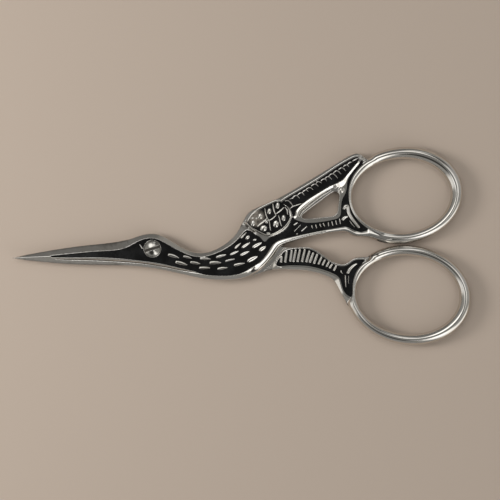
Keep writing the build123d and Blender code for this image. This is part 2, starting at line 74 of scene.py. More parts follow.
# front half, lower edge from the ring back to the beak's tip
FRONT_BOTTOM = [
    (61.39, -1.26), (59.66, -0.92), (57.92, -0.48), (56.19, 0.03), (54.71, 0.56), (53.34, 0.93),
    (51.97, 1.13), (50.85, 1.1), (49.98, 1.43), (49.26, 2.08), (48.52, 2.43), (47.02, 2.49), (44.51, 2.33),
    (42.0, 2.04), (39.48, 1.63), (36.96, 1.05), (34.44, 0.36), (33.17, -0.02), (32.16, -0.43), (31.64, -0.84),
    (31.24, -1.45), (30.58, -2.43), (29.54, -3.64), (28.5, -4.75), (27.2, -5.96), (25.92, -6.84),
    (24.14, -7.65), (22.37, -8.13), (20.36, -8.41), (17.86, -8.47), (15.36, -8.38), (12.87, -8.04),
    (10.39, -7.53), (7.91, -6.86), (5.43, -6.22), (2.95, -5.58), (0.47, -5.05), (-2.02, -4.61),
    (-4.51, -4.27), (-7.0, -4.0), (-9.49, -3.81), (-11.99, -3.67), (-14.49, -3.53), (-16.98, -3.39),
    (-19.48, -3.23), (-21.97, -3.01), (-24.46, -2.75), (-26.95, -2.43), (-29.44, -2.07), (-31.93, -1.73),
    (-33.92, -1.43), (-35.41, -1.1),
]
# back half, upper edge: hidden under the front half as far as the thigh, then the leg
BACK_TOP = [
    (-35.41, -1.1), (-33.15, -0.73), (-30.63, -0.32), (-28.12, -0.09), (-25.61, 0.27), (-23.09, 0.58),
    (-20.58, 0.87), (-18.07, 1.1), (-15.56, 1.29), (-13.06, 1.45), (-10.55, 1.63), (-8.04, 1.94),
    (-5.52, 2.45), (-3.74, 3.01), (-1.98, 3.45), (-0.22, 3.61), (1.52, 3.35), (3.25, 2.59), (4.95, 1.42),
    (6.91, 0.13), (8.87, -0.92), (10.85, -1.57), (12.85, -1.69), (14.86, -1.29), (16.9, -0.41), (18.43, 0.44),
    (19.7, 1.07), (21.21, 1.31), (23.21, 1.14), (24.94, 0.73), (26.43, 0.28), (27.92, -0.05), (29.41, -0.31),
    (30.9, -0.49), (32.15, -0.61), (33.14, -0.84), (34.39, -0.94), (35.64, -0.98), (36.89, -0.95),
    (38.14, -0.9), (39.14, -1.03), (40.12, -1.42), (41.1, -2.0), (42.08, -2.74), (43.05, -3.5),
    (44.02, -4.29), (45.0, -4.9), (46.24, -5.39), (47.48, -5.61), (48.49, -5.4), (49.26, -4.85),
    (50.03, -4.3), (50.79, -3.98), (51.79, -3.94), (53.04, -3.96), (54.55, -3.86), (56.06, -3.49),
]
# back half, lower edge of the leg from the ring to the body
BACK_BOTTOM = [(48.83, -16.84), (47.89, -15.06), (47.19, -13.78), (46.6, -12.63),
    (46.09, -11.49), (45.56, -10.34), (44.96, -9.45), (44.11, -8.82), (42.88, -8.27),
    (41.65, -7.78), (40.41, -7.41), (39.17, -7.09), (37.93, -6.82), (36.68, -6.65),
    (34.19, -6.51), (32.94, -6.41), (31.69, -6.34), (30.44, -6.32), (29.19, -6.43),
    (27.93, -6.68), (26.16, -7.22), (25.15, -7.48), (24.14, -7.65)]
# back half, lower edge of the body, neck and beak
BACK_BELLY = [(24.14, -7.65), (22.37, -8.13), (20.36, -8.41), (17.86, -8.47), (15.36, -8.38),
    (12.87, -8.04), (10.39, -7.53), (7.91, -6.86), (5.43, -6.22), (2.95, -5.58), (0.47, -5.05),
    (-2.02, -4.61), (-4.51, -4.27), (-7.0, -4.0), (-9.49, -3.81), (-11.99, -3.67),
    (-14.49, -3.53), (-16.98, -3.39), (-19.48, -3.23), (-21.97, -3.01), (-24.46, -2.75),
    (-26.95, -2.43), (-29.44, -2.07), (-31.93, -1.73), (-33.92, -1.43), (-35.41, -1.1)]
# front half, where its full thickness begins, clear of the back half's edge
STEP_LINE = [(18.05, 3.78), (19.25, 2.43), (20.48, 1.84), (21.73, 1.8), (23.22, 1.57),
    (24.96, 1.15), (26.44, 0.7), (27.93, 0.35), (29.42, 0.07), (30.92, -0.14), (32.16, -0.23),
    (33.42, -0.18), (34.92, -0.08)]
# back half, where its full thickness begins, clear of the front half's edge
LEG_EDGE = [(27.17, -6.88), (28.02, -6.29), (29.1, -5.37), (30.26, -4.34), (31.06, -3.19),
    (31.77, -2.07), (32.45, -1.34), (33.14, -0.84)]
# black fields, front face of the front half
FIELD_BODY = [
    (-25.65, -0.98), (-23.14, -0.72), (-20.63, -0.56), (-18.13, -0.42), (-15.62, -0.26), (-13.11, -0.18),
    (-10.61, -0.14), (-8.61, -0.02), (-6.59, 0.46), (-5.06, 1.16), (-3.53, 1.9), (-2.02, 2.4), (-0.51, 2.59),
    (0.99, 2.39), (2.46, 1.71), (3.93, 0.83), (5.4, -0.07), (6.87, -0.9), (8.35, -1.63), (9.83, -2.18),
    (11.32, -2.48), (12.82, -2.49), (14.33, -2.22), (15.85, -1.72), (17.37, -1.1), (18.9, -0.3),
    (20.18, 0.55), (21.21, 1.41), (22.25, 2.48), (23.04, 3.35), (23.68, 3.78), (24.3, 3.65), (25.03, 3.15),
    (25.76, 2.5), (26.74, 1.92), (27.34, 1.24), (27.82, 0.63), (28.44, 0.65), (29.12, 1.4), (29.98, 1.75),
    (31.12, 2.11), (32.39, 2.66), (33.55, 3.47), (34.54, 4.56), (35.18, 5.86), (35.46, 6.6), (35.69, 6.0),
    (36.87, 5.45), (38.35, 5.0), (40.85, 4.91), (43.36, 5.14), (45.38, 5.47), (46.64, 5.8), (47.42, 6.6),
    (47.63, 8.22), (47.78, 9.71), (48.2, 10.95), (48.86, 12.05), (49.3, 13.66), (49.42, 14.91),
    (50.15, 16.51), (51.2, 17.85), (52.19, 18.94), (53.16, 20.15), (53.13, 19.48), (51.97, 18.32),
    (50.92, 16.98), (50.11, 15.51), (49.63, 13.9), (49.44, 12.16), (49.51, 10.4), (49.82, 8.64),
    (50.43, 6.99), (51.38, 5.46), (52.58, 4.09), (53.92, 2.94), (53.03, 2.57), (52.14, 2.35), (51.28, 2.58),
    (50.29, 3.02), (49.31, 3.5), (48.32, 3.87), (46.56, 3.65), (44.55, 3.35), (42.03, 2.97), (39.52, 2.56),
    (37.0, 2.12), (34.48, 1.69), (32.21, 1.22), (30.95, 0.71), (29.92, -0.1), (29.13, -1.17), (28.33, -2.35),
    (27.42, -3.46), (26.25, -4.52), (24.97, -5.38), (23.69, -6.13), (22.17, -6.83), (20.15, -7.3),
    (17.9, -7.4), (15.65, -7.29), (13.66, -7.02), (11.68, -6.45), (9.2, -5.71), (6.72, -5.04), (4.25, -4.38),
    (1.77, -3.74), (-0.72, -3.25), (-3.2, -2.84), (-5.69, -2.47), (-8.18, -2.13), (-10.67, -1.87),
    (-13.17, -1.68), (-15.67, -1.56), (-18.17, -1.5), (-20.66, -1.43), (-23.16, -1.32), (-25.66, -1.13),
]
# tail, then wing; the same shapes are on both faces
FIELD_TAIL = [
    (32.79, 10.3), (33.56, 10.93), (34.84, 11.68), (37.39, 13.04), (39.94, 14.42), (42.5, 15.86),
    (45.06, 17.42), (47.61, 18.98), (50.16, 20.31), (51.43, 20.84), (52.18, 20.86), (52.24, 20.44),
    (51.38, 19.47), (50.08, 18.01), (49.04, 16.87), (48.12, 15.81), (47.23, 15.24), (44.94, 14.32),
    (42.39, 12.96), (39.84, 11.5), (38.05, 10.31), (36.63, 9.11), (35.84, 8.02), (35.52, 6.85), (35.36, 7.96),
    (35.03, 8.67), (34.61, 9.34), (33.98, 9.96),
]
# black field on the wing, both faces
FIELD_WING = [(24.12, 5.66), (24.97, 7.13), (26.46, 8.23), (27.99, 9.05), (29.77, 9.86),
    (31.3, 10.46), (32.25, 10.47), (33.03, 9.89), (33.7, 9.12), (34.22, 8.2), (34.48, 7.29),
    (34.25, 6.35), (33.71, 5.32), (32.93, 4.34), (31.85, 3.58), (30.68, 3.0), (29.61, 2.64),
    (28.62, 2.7), (27.43, 3.22), (26.26, 3.88), (25.4, 4.39), (24.74, 4.94)]
# black field on the leg, front face of the back half
FIELD_LEG = [(32.72, -2.05), (33.61, -1.61), (35.12, -1.49), (36.87, -1.48), (38.37, -1.53),
    (39.36, -1.74), (40.59, -2.34), (41.81, -3.21), (43.03, -4.12), (44.25, -5.07),
    (45.47, -5.76), (46.71, -6.18), (47.96, -6.2), (49.1, -5.72), (50.0, -5.08), (51.01, -4.76),
    (52.01, -4.75), (52.76, -4.82), (51.85, -5.69), (50.93, -6.91), (50.21, -8.26),
    (49.78, -9.87), (49.59, -11.62), (49.71, -13.12), (49.27, -13.68), (48.33, -13.2),
    (47.5, -12.09), (47.05, -10.52), (46.68, -9.13), (46.01, -8.28), (44.66, -7.49),
    (42.93, -6.77), (40.96, -6.1), (38.72, -5.57), (36.23, -5.33), (33.73, -5.24),
    (31.73, -5.37), (30.93, -5.29), (30.88, -4.64), (31.59, -3.59), (32.2, -2.73)]
# black field on the back face of the back half
FIELD_BACK_BODY = [(-25.64, -0.55), (-23.13, -0.34), (-20.62, -0.13), (-18.11, 0.03),
    (-15.6, 0.16), (-13.1, 0.3), (-10.59, 0.51), (-8.07, 0.87), (-5.55, 1.43), (-3.53, 2.08),
    (-2.01, 2.42), (-0.51, 2.54), (0.98, 2.34), (2.46, 1.66), (3.93, 0.78), (5.4, -0.17),
    (6.87, -1.0), (8.84, -1.94), (10.81, -2.62), (12.81, -2.74), (14.82, -2.36), (16.86, -1.53),
    (18.39, -0.74), (19.66, -0.03), (21.17, 0.21), (23.17, 0.09), (24.9, -0.32), (26.39, -0.77),
    (27.88, -1.08), (29.37, -1.33), (30.86, -1.56), (32.6, -1.87), (35.1, -1.99), (36.85, -2.0),
    (38.35, -2.05), (39.34, -2.29), (40.57, -2.84), (41.8, -3.63), (43.02, -4.47),
    (44.24, -5.32), (45.47, -5.96), (46.7, -6.31), (47.96, -6.28), (49.1, -5.72), (50.0, -5.08),
    (51.01, -4.76), (52.01, -4.75), (52.76, -4.82), (51.85, -5.69), (50.93, -6.91),
    (50.21, -8.26), (49.78, -9.87), (49.59, -11.62), (49.71, -13.12), (49.27, -13.68),
    (48.33, -13.2), (47.5, -12.09), (47.05, -10.52), (46.68, -9.13), (46.01, -8.28),
    (44.66, -7.49), (42.93, -6.77), (40.96, -6.1), (38.72, -5.57), (36.23, -5.33),
    (33.73, -5.24), (31.73, -5.27), (29.23, -5.38), (27.21, -5.68), (25.45, -6.14),
    (23.67, -6.73), (21.66, -7.16), (19.65, -7.34), (17.65, -7.34), (15.15, -7.17),
    (12.91, -6.79), (10.43, -6.2), (7.96, -5.56), (5.48, -4.88), (3.0, -4.24), (0.52, -3.65),
    (-1.96, -3.11), (-4.45, -2.64), (-6.93, -2.23), (-9.42, -1.89), (-11.92, -1.62),
    (-14.41, -1.41), (-16.9, -1.22), (-19.4, -1.05), (-21.9, -0.89), (-24.39, -0.75)]
# black field behind the shank, back face of the front half
FIELD_BACK_SHANK = [(33.11, 1.64), (34.15, 2.9), (35.07, 4.09), (35.62, 5.42), (36.28, 5.67),
    (36.87, 5.45), (38.35, 5.0), (40.85, 4.91), (43.36, 5.14), (45.38, 5.47), (46.64, 5.8),
    (47.42, 6.6), (47.63, 8.22), (47.78, 9.71), (48.2, 10.95), (48.86, 12.05), (49.3, 13.66),
    (49.42, 14.91), (50.15, 16.51), (51.2, 17.85), (52.19, 18.94), (53.16, 20.15),
    (53.13, 19.48), (51.97, 18.32), (50.92, 16.98), (50.11, 15.51), (49.63, 13.9),
    (49.44, 12.16), (49.51, 10.4), (49.82, 8.64), (50.43, 6.99), (51.38, 5.46), (52.58, 4.09),
    (53.92, 2.94), (53.03, 2.57), (52.14, 2.35), (51.28, 2.58), (50.29, 3.02), (49.31, 3.5),
    (48.32, 3.87), (46.56, 3.65), (44.55, 3.35), (42.03, 2.97), (39.52, 2.56), (37.0, 2.12),
    (34.48, 1.69)]
# window between the tail, the shank and the ring
WINDOW = [(37.54, 6.75), (38.45, 7.65), (40.25, 8.98), (42.3, 10.36), (44.35, 11.79),
    (45.63, 12.54), (46.63, 12.56), (47.18, 11.86), (47.01, 10.49), (46.74, 8.75), (46.5, 7.38),
    (45.79, 6.66), (44.66, 6.45), (42.66, 6.35), (40.15, 6.14), (38.4, 6.15), (37.65, 6.33)]
# feathers on the neck and body: centre, length, width, direction in degrees
FEATHERS = [(5.21, -2.04, 3.05, 0.88, -19.1), (8.69, -2.44, 2.4, 0.72, -17.1),
    (13.13, -2.97, 2.8, 0.78, -5.1), (7.09, -3.91, 3.2, 0.93, -17.1),
    (10.57, -3.93, 2.7, 0.82, -12.1), (15.59, -4.04, 3.05, 0.93, -2.1),
    (12.87, -5.24, 2.9, 0.78, -2.1), (17.12, -2.42, 2.8, 0.78, 13.9),
    (19.29, -3.52, 2.65, 0.65, 11.9), (17.34, -5.5, 2.75, 0.78, 5.9),
    (20.45, -1.76, 2.55, 0.7, 21.9), (21.55, -4.65, 2.95, 0.8, 9.9),
    (21.36, 0.01, 2.3, 0.62, 39.9), (23.04, -1.95, 2.65, 0.8, 22.9),
    (23.42, 0.08, 2.6, 0.78, 30.9), (24.92, -3.42, 3.05, 1.05, 24.9),
    (22.91, 2.55, 2.25, 0.55, 43.9), (23.91, 1.97, 1.35, 0.9, 37.9),
    (25.64, 1.3, 1.1, 0.65, 12.9), (26.22, 0.01, 2.85, 0.9, 25.9),
    (27.53, -0.92, 2.15, 1.0, 30.9)]
# pearls on the wing
PEARLS = [(27.22, 7.13, 1.2, 1.4, -12.1), (25.36, 5.47, 1.05, 1.5, -14.1),
    (29.52, 8.32, 0.95, 1.45, -12.1), (31.64, 9.64, 0.9, 1.6, -10.1),
    (27.97, 4.1, 1.75, 1.45, 17.9), (31.08, 5.06, 1.4, 1.7, -10.1),
    (33.03, 6.49, 0.95, 1.5, -2.1), (25.23, 6.77, 0.95, 0.55, 27.9),
    (26.23, 6.69, 0.6, 0.7, -22.1), (28.77, 5.69, 0.75, 0.85, -2.1),
    (29.1, 2.88, 1.0, 0.45, -2.1)]
# veins of the wing
VEINS = [
    [(26.46, 4.68), (27.05, 5.21), (27.87, 5.73), (28.73, 6.5)],
    [(29.14, 6.08), (29.69, 6.16), (30.41, 6.61), (31.18, 7.23)],
    [(31.25, 7.66), (32.09, 8.2), (33.2, 9.14)],
    [(28.44, 9.01), (28.56, 8.03), (28.78, 7.15), (29.15, 6.31)],
    [(29.43, 6.0), (29.5, 5.12), (29.57, 4.29), (29.7, 3.51)],
    [(30.48, 10.04), (30.6, 9.08), (30.79, 8.2), (31.04, 7.51)],
    [(31.8, 7.16), (32.02, 6.28), (32.19, 5.37), (32.48, 4.46)],
    [(33.57, 9.07), (33.98, 8.56), (34.09, 7.35)],
]
# raised border of the wing
WING_BORDER = [
    [(23.67, 5.58), (24.58, 4.64), (25.19, 4.07), (26.05, 3.59), (27.27, 2.9), (28.5, 2.35),
    (29.63, 2.29), (30.77, 2.67), (32.04, 3.28), (33.19, 4.08), (34.1, 5.05), (34.77, 6.23),
    (35.08, 7.22)],
]
# barbs along the tail
BARBS = [
    [(33.56, 10.68), (34.06, 10.86), (34.63, 10.59), (35.15, 9.92), (35.51, 9.33)],
    [(34.65, 11.19), (35.41, 11.36), (35.85, 11.87), (36.36, 12.03), (36.84, 11.71), (37.32, 11.09)],
    [(36.61, 12.02), (37.12, 12.45), (37.63, 12.68), (38.12, 12.41), (38.47, 11.8)],
    [(37.96, 12.72), (38.3, 13.11), (38.73, 13.29), (39.15, 13.18), (39.53, 12.71)],
    [(38.91, 13.49), (39.42, 13.79), (39.92, 13.85), (40.41, 13.56), (40.77, 13.07)],
    [(40.18, 14.14), (40.6, 14.55), (41.2, 14.68), (41.69, 14.39), (42.08, 13.92)],
    [(41.46, 14.72), (41.68, 15.26), (42.32, 15.19), (42.96, 14.74)],
    [(42.63, 15.4), (42.99, 15.74), (43.65, 15.87), (44.23, 15.39)],
    [(43.75, 16.01), (44.27, 16.42), (44.82, 16.32), (45.49, 15.55)],
    [(44.67, 16.53), (45.29, 17.08), (45.84, 17.06), (46.52, 16.44), (47.0, 15.82)],
    [(45.9, 17.31), (46.57, 17.84), (47.12, 17.69), (47.79, 16.82)],
    [(47.18, 18.07), (47.85, 18.54), (48.34, 18.42), (49.06, 17.52)],
    [(48.41, 18.77), (48.92, 19.18), (49.42, 19.11), (49.9, 18.59)],
    [(49.43, 19.31), (50.15, 19.84), (50.7, 19.82)],
    [(50.7, 20.07), (51.42, 20.44), (52.18, 20.76)],
    [(34.74, 8.78), (35.25, 9.21), (36.52, 9.62), (37.78, 10.02)],
]
# short strokes on the shank
TICKS = [
    [(35.59, 4.7), (36.41, 5.22)],
    [(35.63, 3.1), (37.24, 4.64)],
    [(37.44, 3.11), (38.73, 4.19)],
    [(36.16, 2.38), (36.41, 2.42)],
    [(39.98, 4.34), (40.16, 3.68)],
    [(40.99, 4.5), (41.21, 3.7)],
    [(42.04, 4.67), (42.29, 3.91)],
    [(42.9, 4.81), (43.22, 4.05)],
    [(44.16, 4.97), (44.23, 4.09)],
    [(45.06, 5.16), (45.28, 4.15)],
    [(46.02, 5.37), (46.24, 4.37)],
    [(46.99, 5.79), (47.17, 4.53)],
]
# scroll where the shank meets the upper ring
SCROLL = [
    [(48.23, 8.37), (48.55, 8.89), (49.05, 8.87), (49.23, 8.16), (49.39, 7.15), (50.0, 5.93),
    (50.85, 4.7), (51.71, 3.57)],
    [(47.83, 5.66), (48.2, 6.05), (48.91, 6.27)],
    [(49.5, 5.25), (50.04, 4.38), (50.66, 3.66)],
]
# ribs of the leg
RIBS = [
    [(32.18, -3.18), (32.01, -4.35)],
    [(33.5, -1.93), (33.06, -4.37)],
    [(34.76, -1.73), (34.32, -4.21)],
    [(35.76, -1.66), (35.12, -4.34)],
    [(36.81, -1.65), (36.14, -4.38)],
    [(38.02, -1.64), (37.27, -4.42)],
    [(39.15, -2.08), (38.34, -4.51)],
    [(40.08, -2.57), (39.21, -4.64)],
    [(41.07, -2.95), (40.25, -4.97)],
    [(42.15, -3.59), (41.34, -5.21)],
    [(42.97, -4.37), (42.33, -5.5)],
    [(43.95, -4.86), (43.37, -5.89)],
    [(44.73, -5.49), (44.1, -6.31)],
    [(45.77, -5.82), (45.13, -6.95)],
]
# scroll at the end of the leg
LEG_SCROLL = [
    [(46.9, -7.17), (46.96, -7.57), (47.25, -7.88)],
    [(50.81, -5.6), (49.96, -6.07), (49.06, -6.89), (48.61, -7.68)],
    [(47.93, -8.45), (47.93, -9.8), (47.97, -11.31)],
    [(48.78, -8.48), (48.7, -9.33), (48.63, -10.43)],
]
# mark in front of the eye
LASH = [
    [(-3.21, 1.24), (-2.87, 0.83), (-2.54, 0.22)],
]
# left side of the upper ring, beside the black field
UPPER_SIDE = [(55.44, 20.9), (54.29, 20.34), (53.13, 19.48), (51.97, 18.32), (50.92, 16.98),
    (50.11, 15.51), (49.63, 13.9), (49.44, 12.16), (49.51, 10.4), (49.82, 8.64), (50.43, 6.99),
    (51.38, 5.46), (52.58, 4.09), (53.8, 3.09), (54.88, 2.05), (56.22, 1.0)]
# left side of the lower ring, beside the black field
LOWER_SIDE = [(54.28, -4.33), (52.75, -5.12), (51.85, -5.84), (50.93, -6.91), (50.21, -8.26),
    (49.78, -9.87), (49.59, -11.62), (49.6, -12.74), (49.34, -13.66), (48.77, -14.24),
    (48.53, -15.33), (48.83, -16.72)]
# groove between the bead and the rim, below the beak and the neck
NECK_GROOVE = [(-24.18, -1.76), (-21.68, -1.92), (-18.69, -2.1), (-15.69, -2.29), (-10.7, -2.69),
    (-5.72, -3.2), (-3.23, -3.51), (-0.74, -3.9), (1.74, -4.42), (4.22, -4.96), (6.7, -5.57),
    (9.19, -6.08), (11.67, -6.57), (13.41, -6.96)]
# groove along the shank's lower rim
SHANK_GROOVE = [(33.45, 0.75), (34.96, 1.09), (36.98, 1.55), (39.0, 1.95), (41.01, 2.3),
    (43.52, 2.69)]
# groove along the bar between tail and window
BAR_GROOVE = [(36.92, 6.85), (37.46, 7.93), (38.75, 9.04), (40.29, 10.23), (41.83, 11.33),
    (43.37, 12.3), (44.9, 13.07)]
BAR_PEARLS = [(47.65, 12.97), (46.92, 12.1)]
BAR_DIMPLE = (46.18, 13.9)


# ---------------------------------------------------------------- lines and plans

def even_line(points, closed=False, round_by=0.5, step=0.12):
    """A traced line as a smooth curve with even steps; an open line keeps its ends."""
    p = np.array(points, float)
    if closed:
        p = np.vstack([p[-2:], p, p[:3]])
    else:
        p = np.vstack([2 * p[:1] - p[1:2], p, 2 * p[-1:] - p[-2:-1]])
    gap = np.sqrt(np.linalg.norm(np.diff(p, axis=0), axis=1))[:, None]
    tangent = np.zeros_like(p)
    tangent[1:-1] = (
        (p[1:-1] - p[:-2]) / gap[:-1] * gap[1:] + (p[2:] - p[1:-1]) / gap[1:] * gap[:-1]
    ) / (gap[:-1] + gap[1:])
    first, last = (2, len(p) - 3) if closed else (1, len(p) - 2)
    out = []
    for i in range(first, last):
        a, b, g = p[i], p[i + 1], gap[i, 0]
        count = max(2, int(np.linalg.norm(b - a) / 0.04))
        t = np.linspace(0, 1, count, endpoint=False)[:, None]
        out.append(
            (2 * t**3 - 3 * t**2 + 1) * a + (t**3 - 2 * t**2 + t) * g * tangent[i]
            + (3 * t**2 - 2 * t**3) * b + (t**3 - t**2) * g * tangent[i + 1]
        )
    q = np.vstack(out + [p[last:last + 1]])
    s = np.r_[0, np.cumsum(np.linalg.norm(np.diff(q, axis=0), axis=1))]
    count = max(3, int(round(s[-1] / step)))
    u = np.linspace(0, s[-1], count + 1)
    q = np.stack([np.interp(u, s, q[:, 0]), np.interp(u, s, q[:, 1])], 1)
    if closed:
        q = q[:-1]
    reach = min(int(3 * round_by / step), (len(q) - 1) // 2)
    if reach < 1:
        return q
    weight = np.exp(-0.5 * (np.arange(-reach, reach + 1) * step / round_by) ** 2)
    weight /= weight.sum()
    if closed:
        wide = np.vstack([q[-reach:], q, q[:reach]])
    else:
        wide = np.vstack([2 * q[0] - q[reach:0:-1], q, 2 * q[-1] - q[-2:-2 - reach:-1]])
    return np.stack([np.convolve(wide[:, k], weight, "valid") for k in (0, 1)], 1)


def oval(ring, grow=0.0, start=0.0, end=360.0, step=0.12):
    """Points along a ring's ellipse, from one angle of its parameter to another."""
    cx, cy, a, b, tilt = ring
    a, b, tilt = a + grow, b + grow, math.radians(tilt)
    count = int(abs(end - start) / 360 * math.pi * (a + b) / step)
    t = np.radians(np.linspace(start, end, count, endpoint=abs(end - start) < 360))
    x, y = a * np.cos(t), b * np.sin(t)
    return np.stack([cx + x * math.cos(tilt) - y * math.sin(tilt),
                     cy + x * math.sin(tilt) + y * math.cos(tilt)], 1)


def angle_on(ring, point):
    """The parameter, in degrees, at which a ring's ellipse is nearest to a point."""
    cx, cy, a, b, tilt = ring
    tilt = math.radians(tilt)
    x, y = point[0] - cx, point[1] - cy
    u, v = x * math.cos(tilt) + y * math.sin(tilt), y * math.cos(tilt) - x * math.sin(tilt)
    return math.degrees(math.atan2(v / b, u / a)) % 360


def ramp(low, high, v):
    t = np.clip((v - low) / (high - low), 0, 1)
    return t * t * (3 - 2 * t)


def soft_max(a, b, k):
    h = np.maximum(k - np.abs(a - b), 0) / k
    return np.maximum(a, b) + h * h * k * 0.25


def soft_min(a, b, k):
    return -soft_max(-a, -b, k)


class Plan:
    """A grid over x and y, and the maps drawn on it."""

    def __init__(self, x0, x1, y0, y1, step):
        self.step = step
        self.x = np.arange(x0, x1 + step, step, dtype=np.float32)
        self.y = np.arange(y0, y1 + step, step, dtype=np.float32)
        self.shape = (len(self.x), len(self.y))
        self.xx, self.yy = self.x[:, None], self.y[None, :]

    def window(self, low, high):
        i = np.searchsorted(self.x, (low[0], high[0]))
        j = np.searchsorted(self.y, (low[1], high[1]))
        return slice(i[0], i[1]), slice(j[0], j[1])

    def near(self, a, b, reach, radius=None):
        """Distance to the segments from a to b, or its ratio to a radius that changes along them."""
        out = np.full(self.shape, reach if radius is None else 9.0, np.float32)
        for k in range(0, len(a), 16):
            p, q = a[k:k + 16], b[k:k + 16]
            r = reach if radius is None else radius[k:k + 17].max()
            low, high = np.minimum(p, q).min(0) - r, np.maximum(p, q).max(0) + r
            i, j = self.window(low, high)
            x, y = self.x[i][None, :, None], self.y[j][None, None, :]
            if x.size == 0 or y.size == 0:
                continue
            p, q = p.astype(np.float32), q.astype(np.float32)
            px, py = p[:, 0, None, None], p[:, 1, None, None]
            dx, dy = (q - p)[:, 0, None, None], (q - p)[:, 1, None, None]
            long = np.maximum(dx * dx + dy * dy, 1e-12)
            t = np.clip(((x - px) * dx + (y - py) * dy) / long, 0, 1)
            d = np.sqrt((x - px - t * dx) ** 2 + (y - py - t * dy) ** 2)
            if radius is not None:
                r0 = radius[k:k + len(p)].astype(np.float32)[:, None, None]
                r1 = radius[k + 1:k + 1 + len(p)].astype(np.float32)[:, None, None]
                d = d / (r0 + (r1 - r0) * t)
            out[i, j] = np.minimum(out[i, j], d.min(0))
        return out

    def line(self, points, reach=2.6):
        return self.near(points[:-1], points[1:], reach)

    def area(self, points, reach=2.6):
        """Signed distance to a closed line, negative inside it."""
        other = np.roll(points, -1, axis=0)
        d = self.near(points, other, reach)
        flip = np.zeros((self.shape[0], self.shape[1] + 1), np.int32)
        low, high = np.minimum(points[:, 0], other[:, 0]), np.maximum(points[:, 0], other[:, 0])
        first, last = np.searchsorted(self.x, low), np.searchsorted(self.x, high)
        for k in np.nonzero(last > first)[0]:
            i = np.arange(first[k], last[k])
            t = (self.x[i] - points[k, 0]) / (other[k, 0] - points[k, 0])
            y = points[k, 1] + t * (other[k, 1] - points[k, 1])
            np.add.at(flip, (i, np.searchsorted(self.y, y)), 1)
        inside = np.cumsum(flip, axis=1)[:, :-1] % 2 == 1
        return np.where(inside, -d, d)

    def blur(self, image, radius):
        """The same map with its detail softened over a radius in mm."""
        reach = max(1, int(math.ceil(2.5 * radius / self.step)))
        weight = np.exp(-0.5 * (np.arange(-reach, reach + 1) * self.step / radius) ** 2)
        weight = (weight / weight.sum()).astype(np.float32)
        for axis in (0, 1):
            wide = np.pad(image, [(reach, reach) if k == axis else (0, 0) for k in (0, 1)], "edge")
            size = image.shape[axis]
            image = sum(w * np.take(wide, np.arange(k, k + size), axis) for k, w in enumerate(weight))
        return image.astype(np.float32)

    def evenness(self, height):
        """1 where a height map is level, less where it is steep: it scales a height to a distance."""
        gx, gy = np.gradient(height, self.step)
        return self.blur((1 / np.sqrt(1 + np.minimum(gx * gx + gy * gy, 9))).astype(np.float32), 0.08)


# ---------------------------------------------------------------- solids and meshes

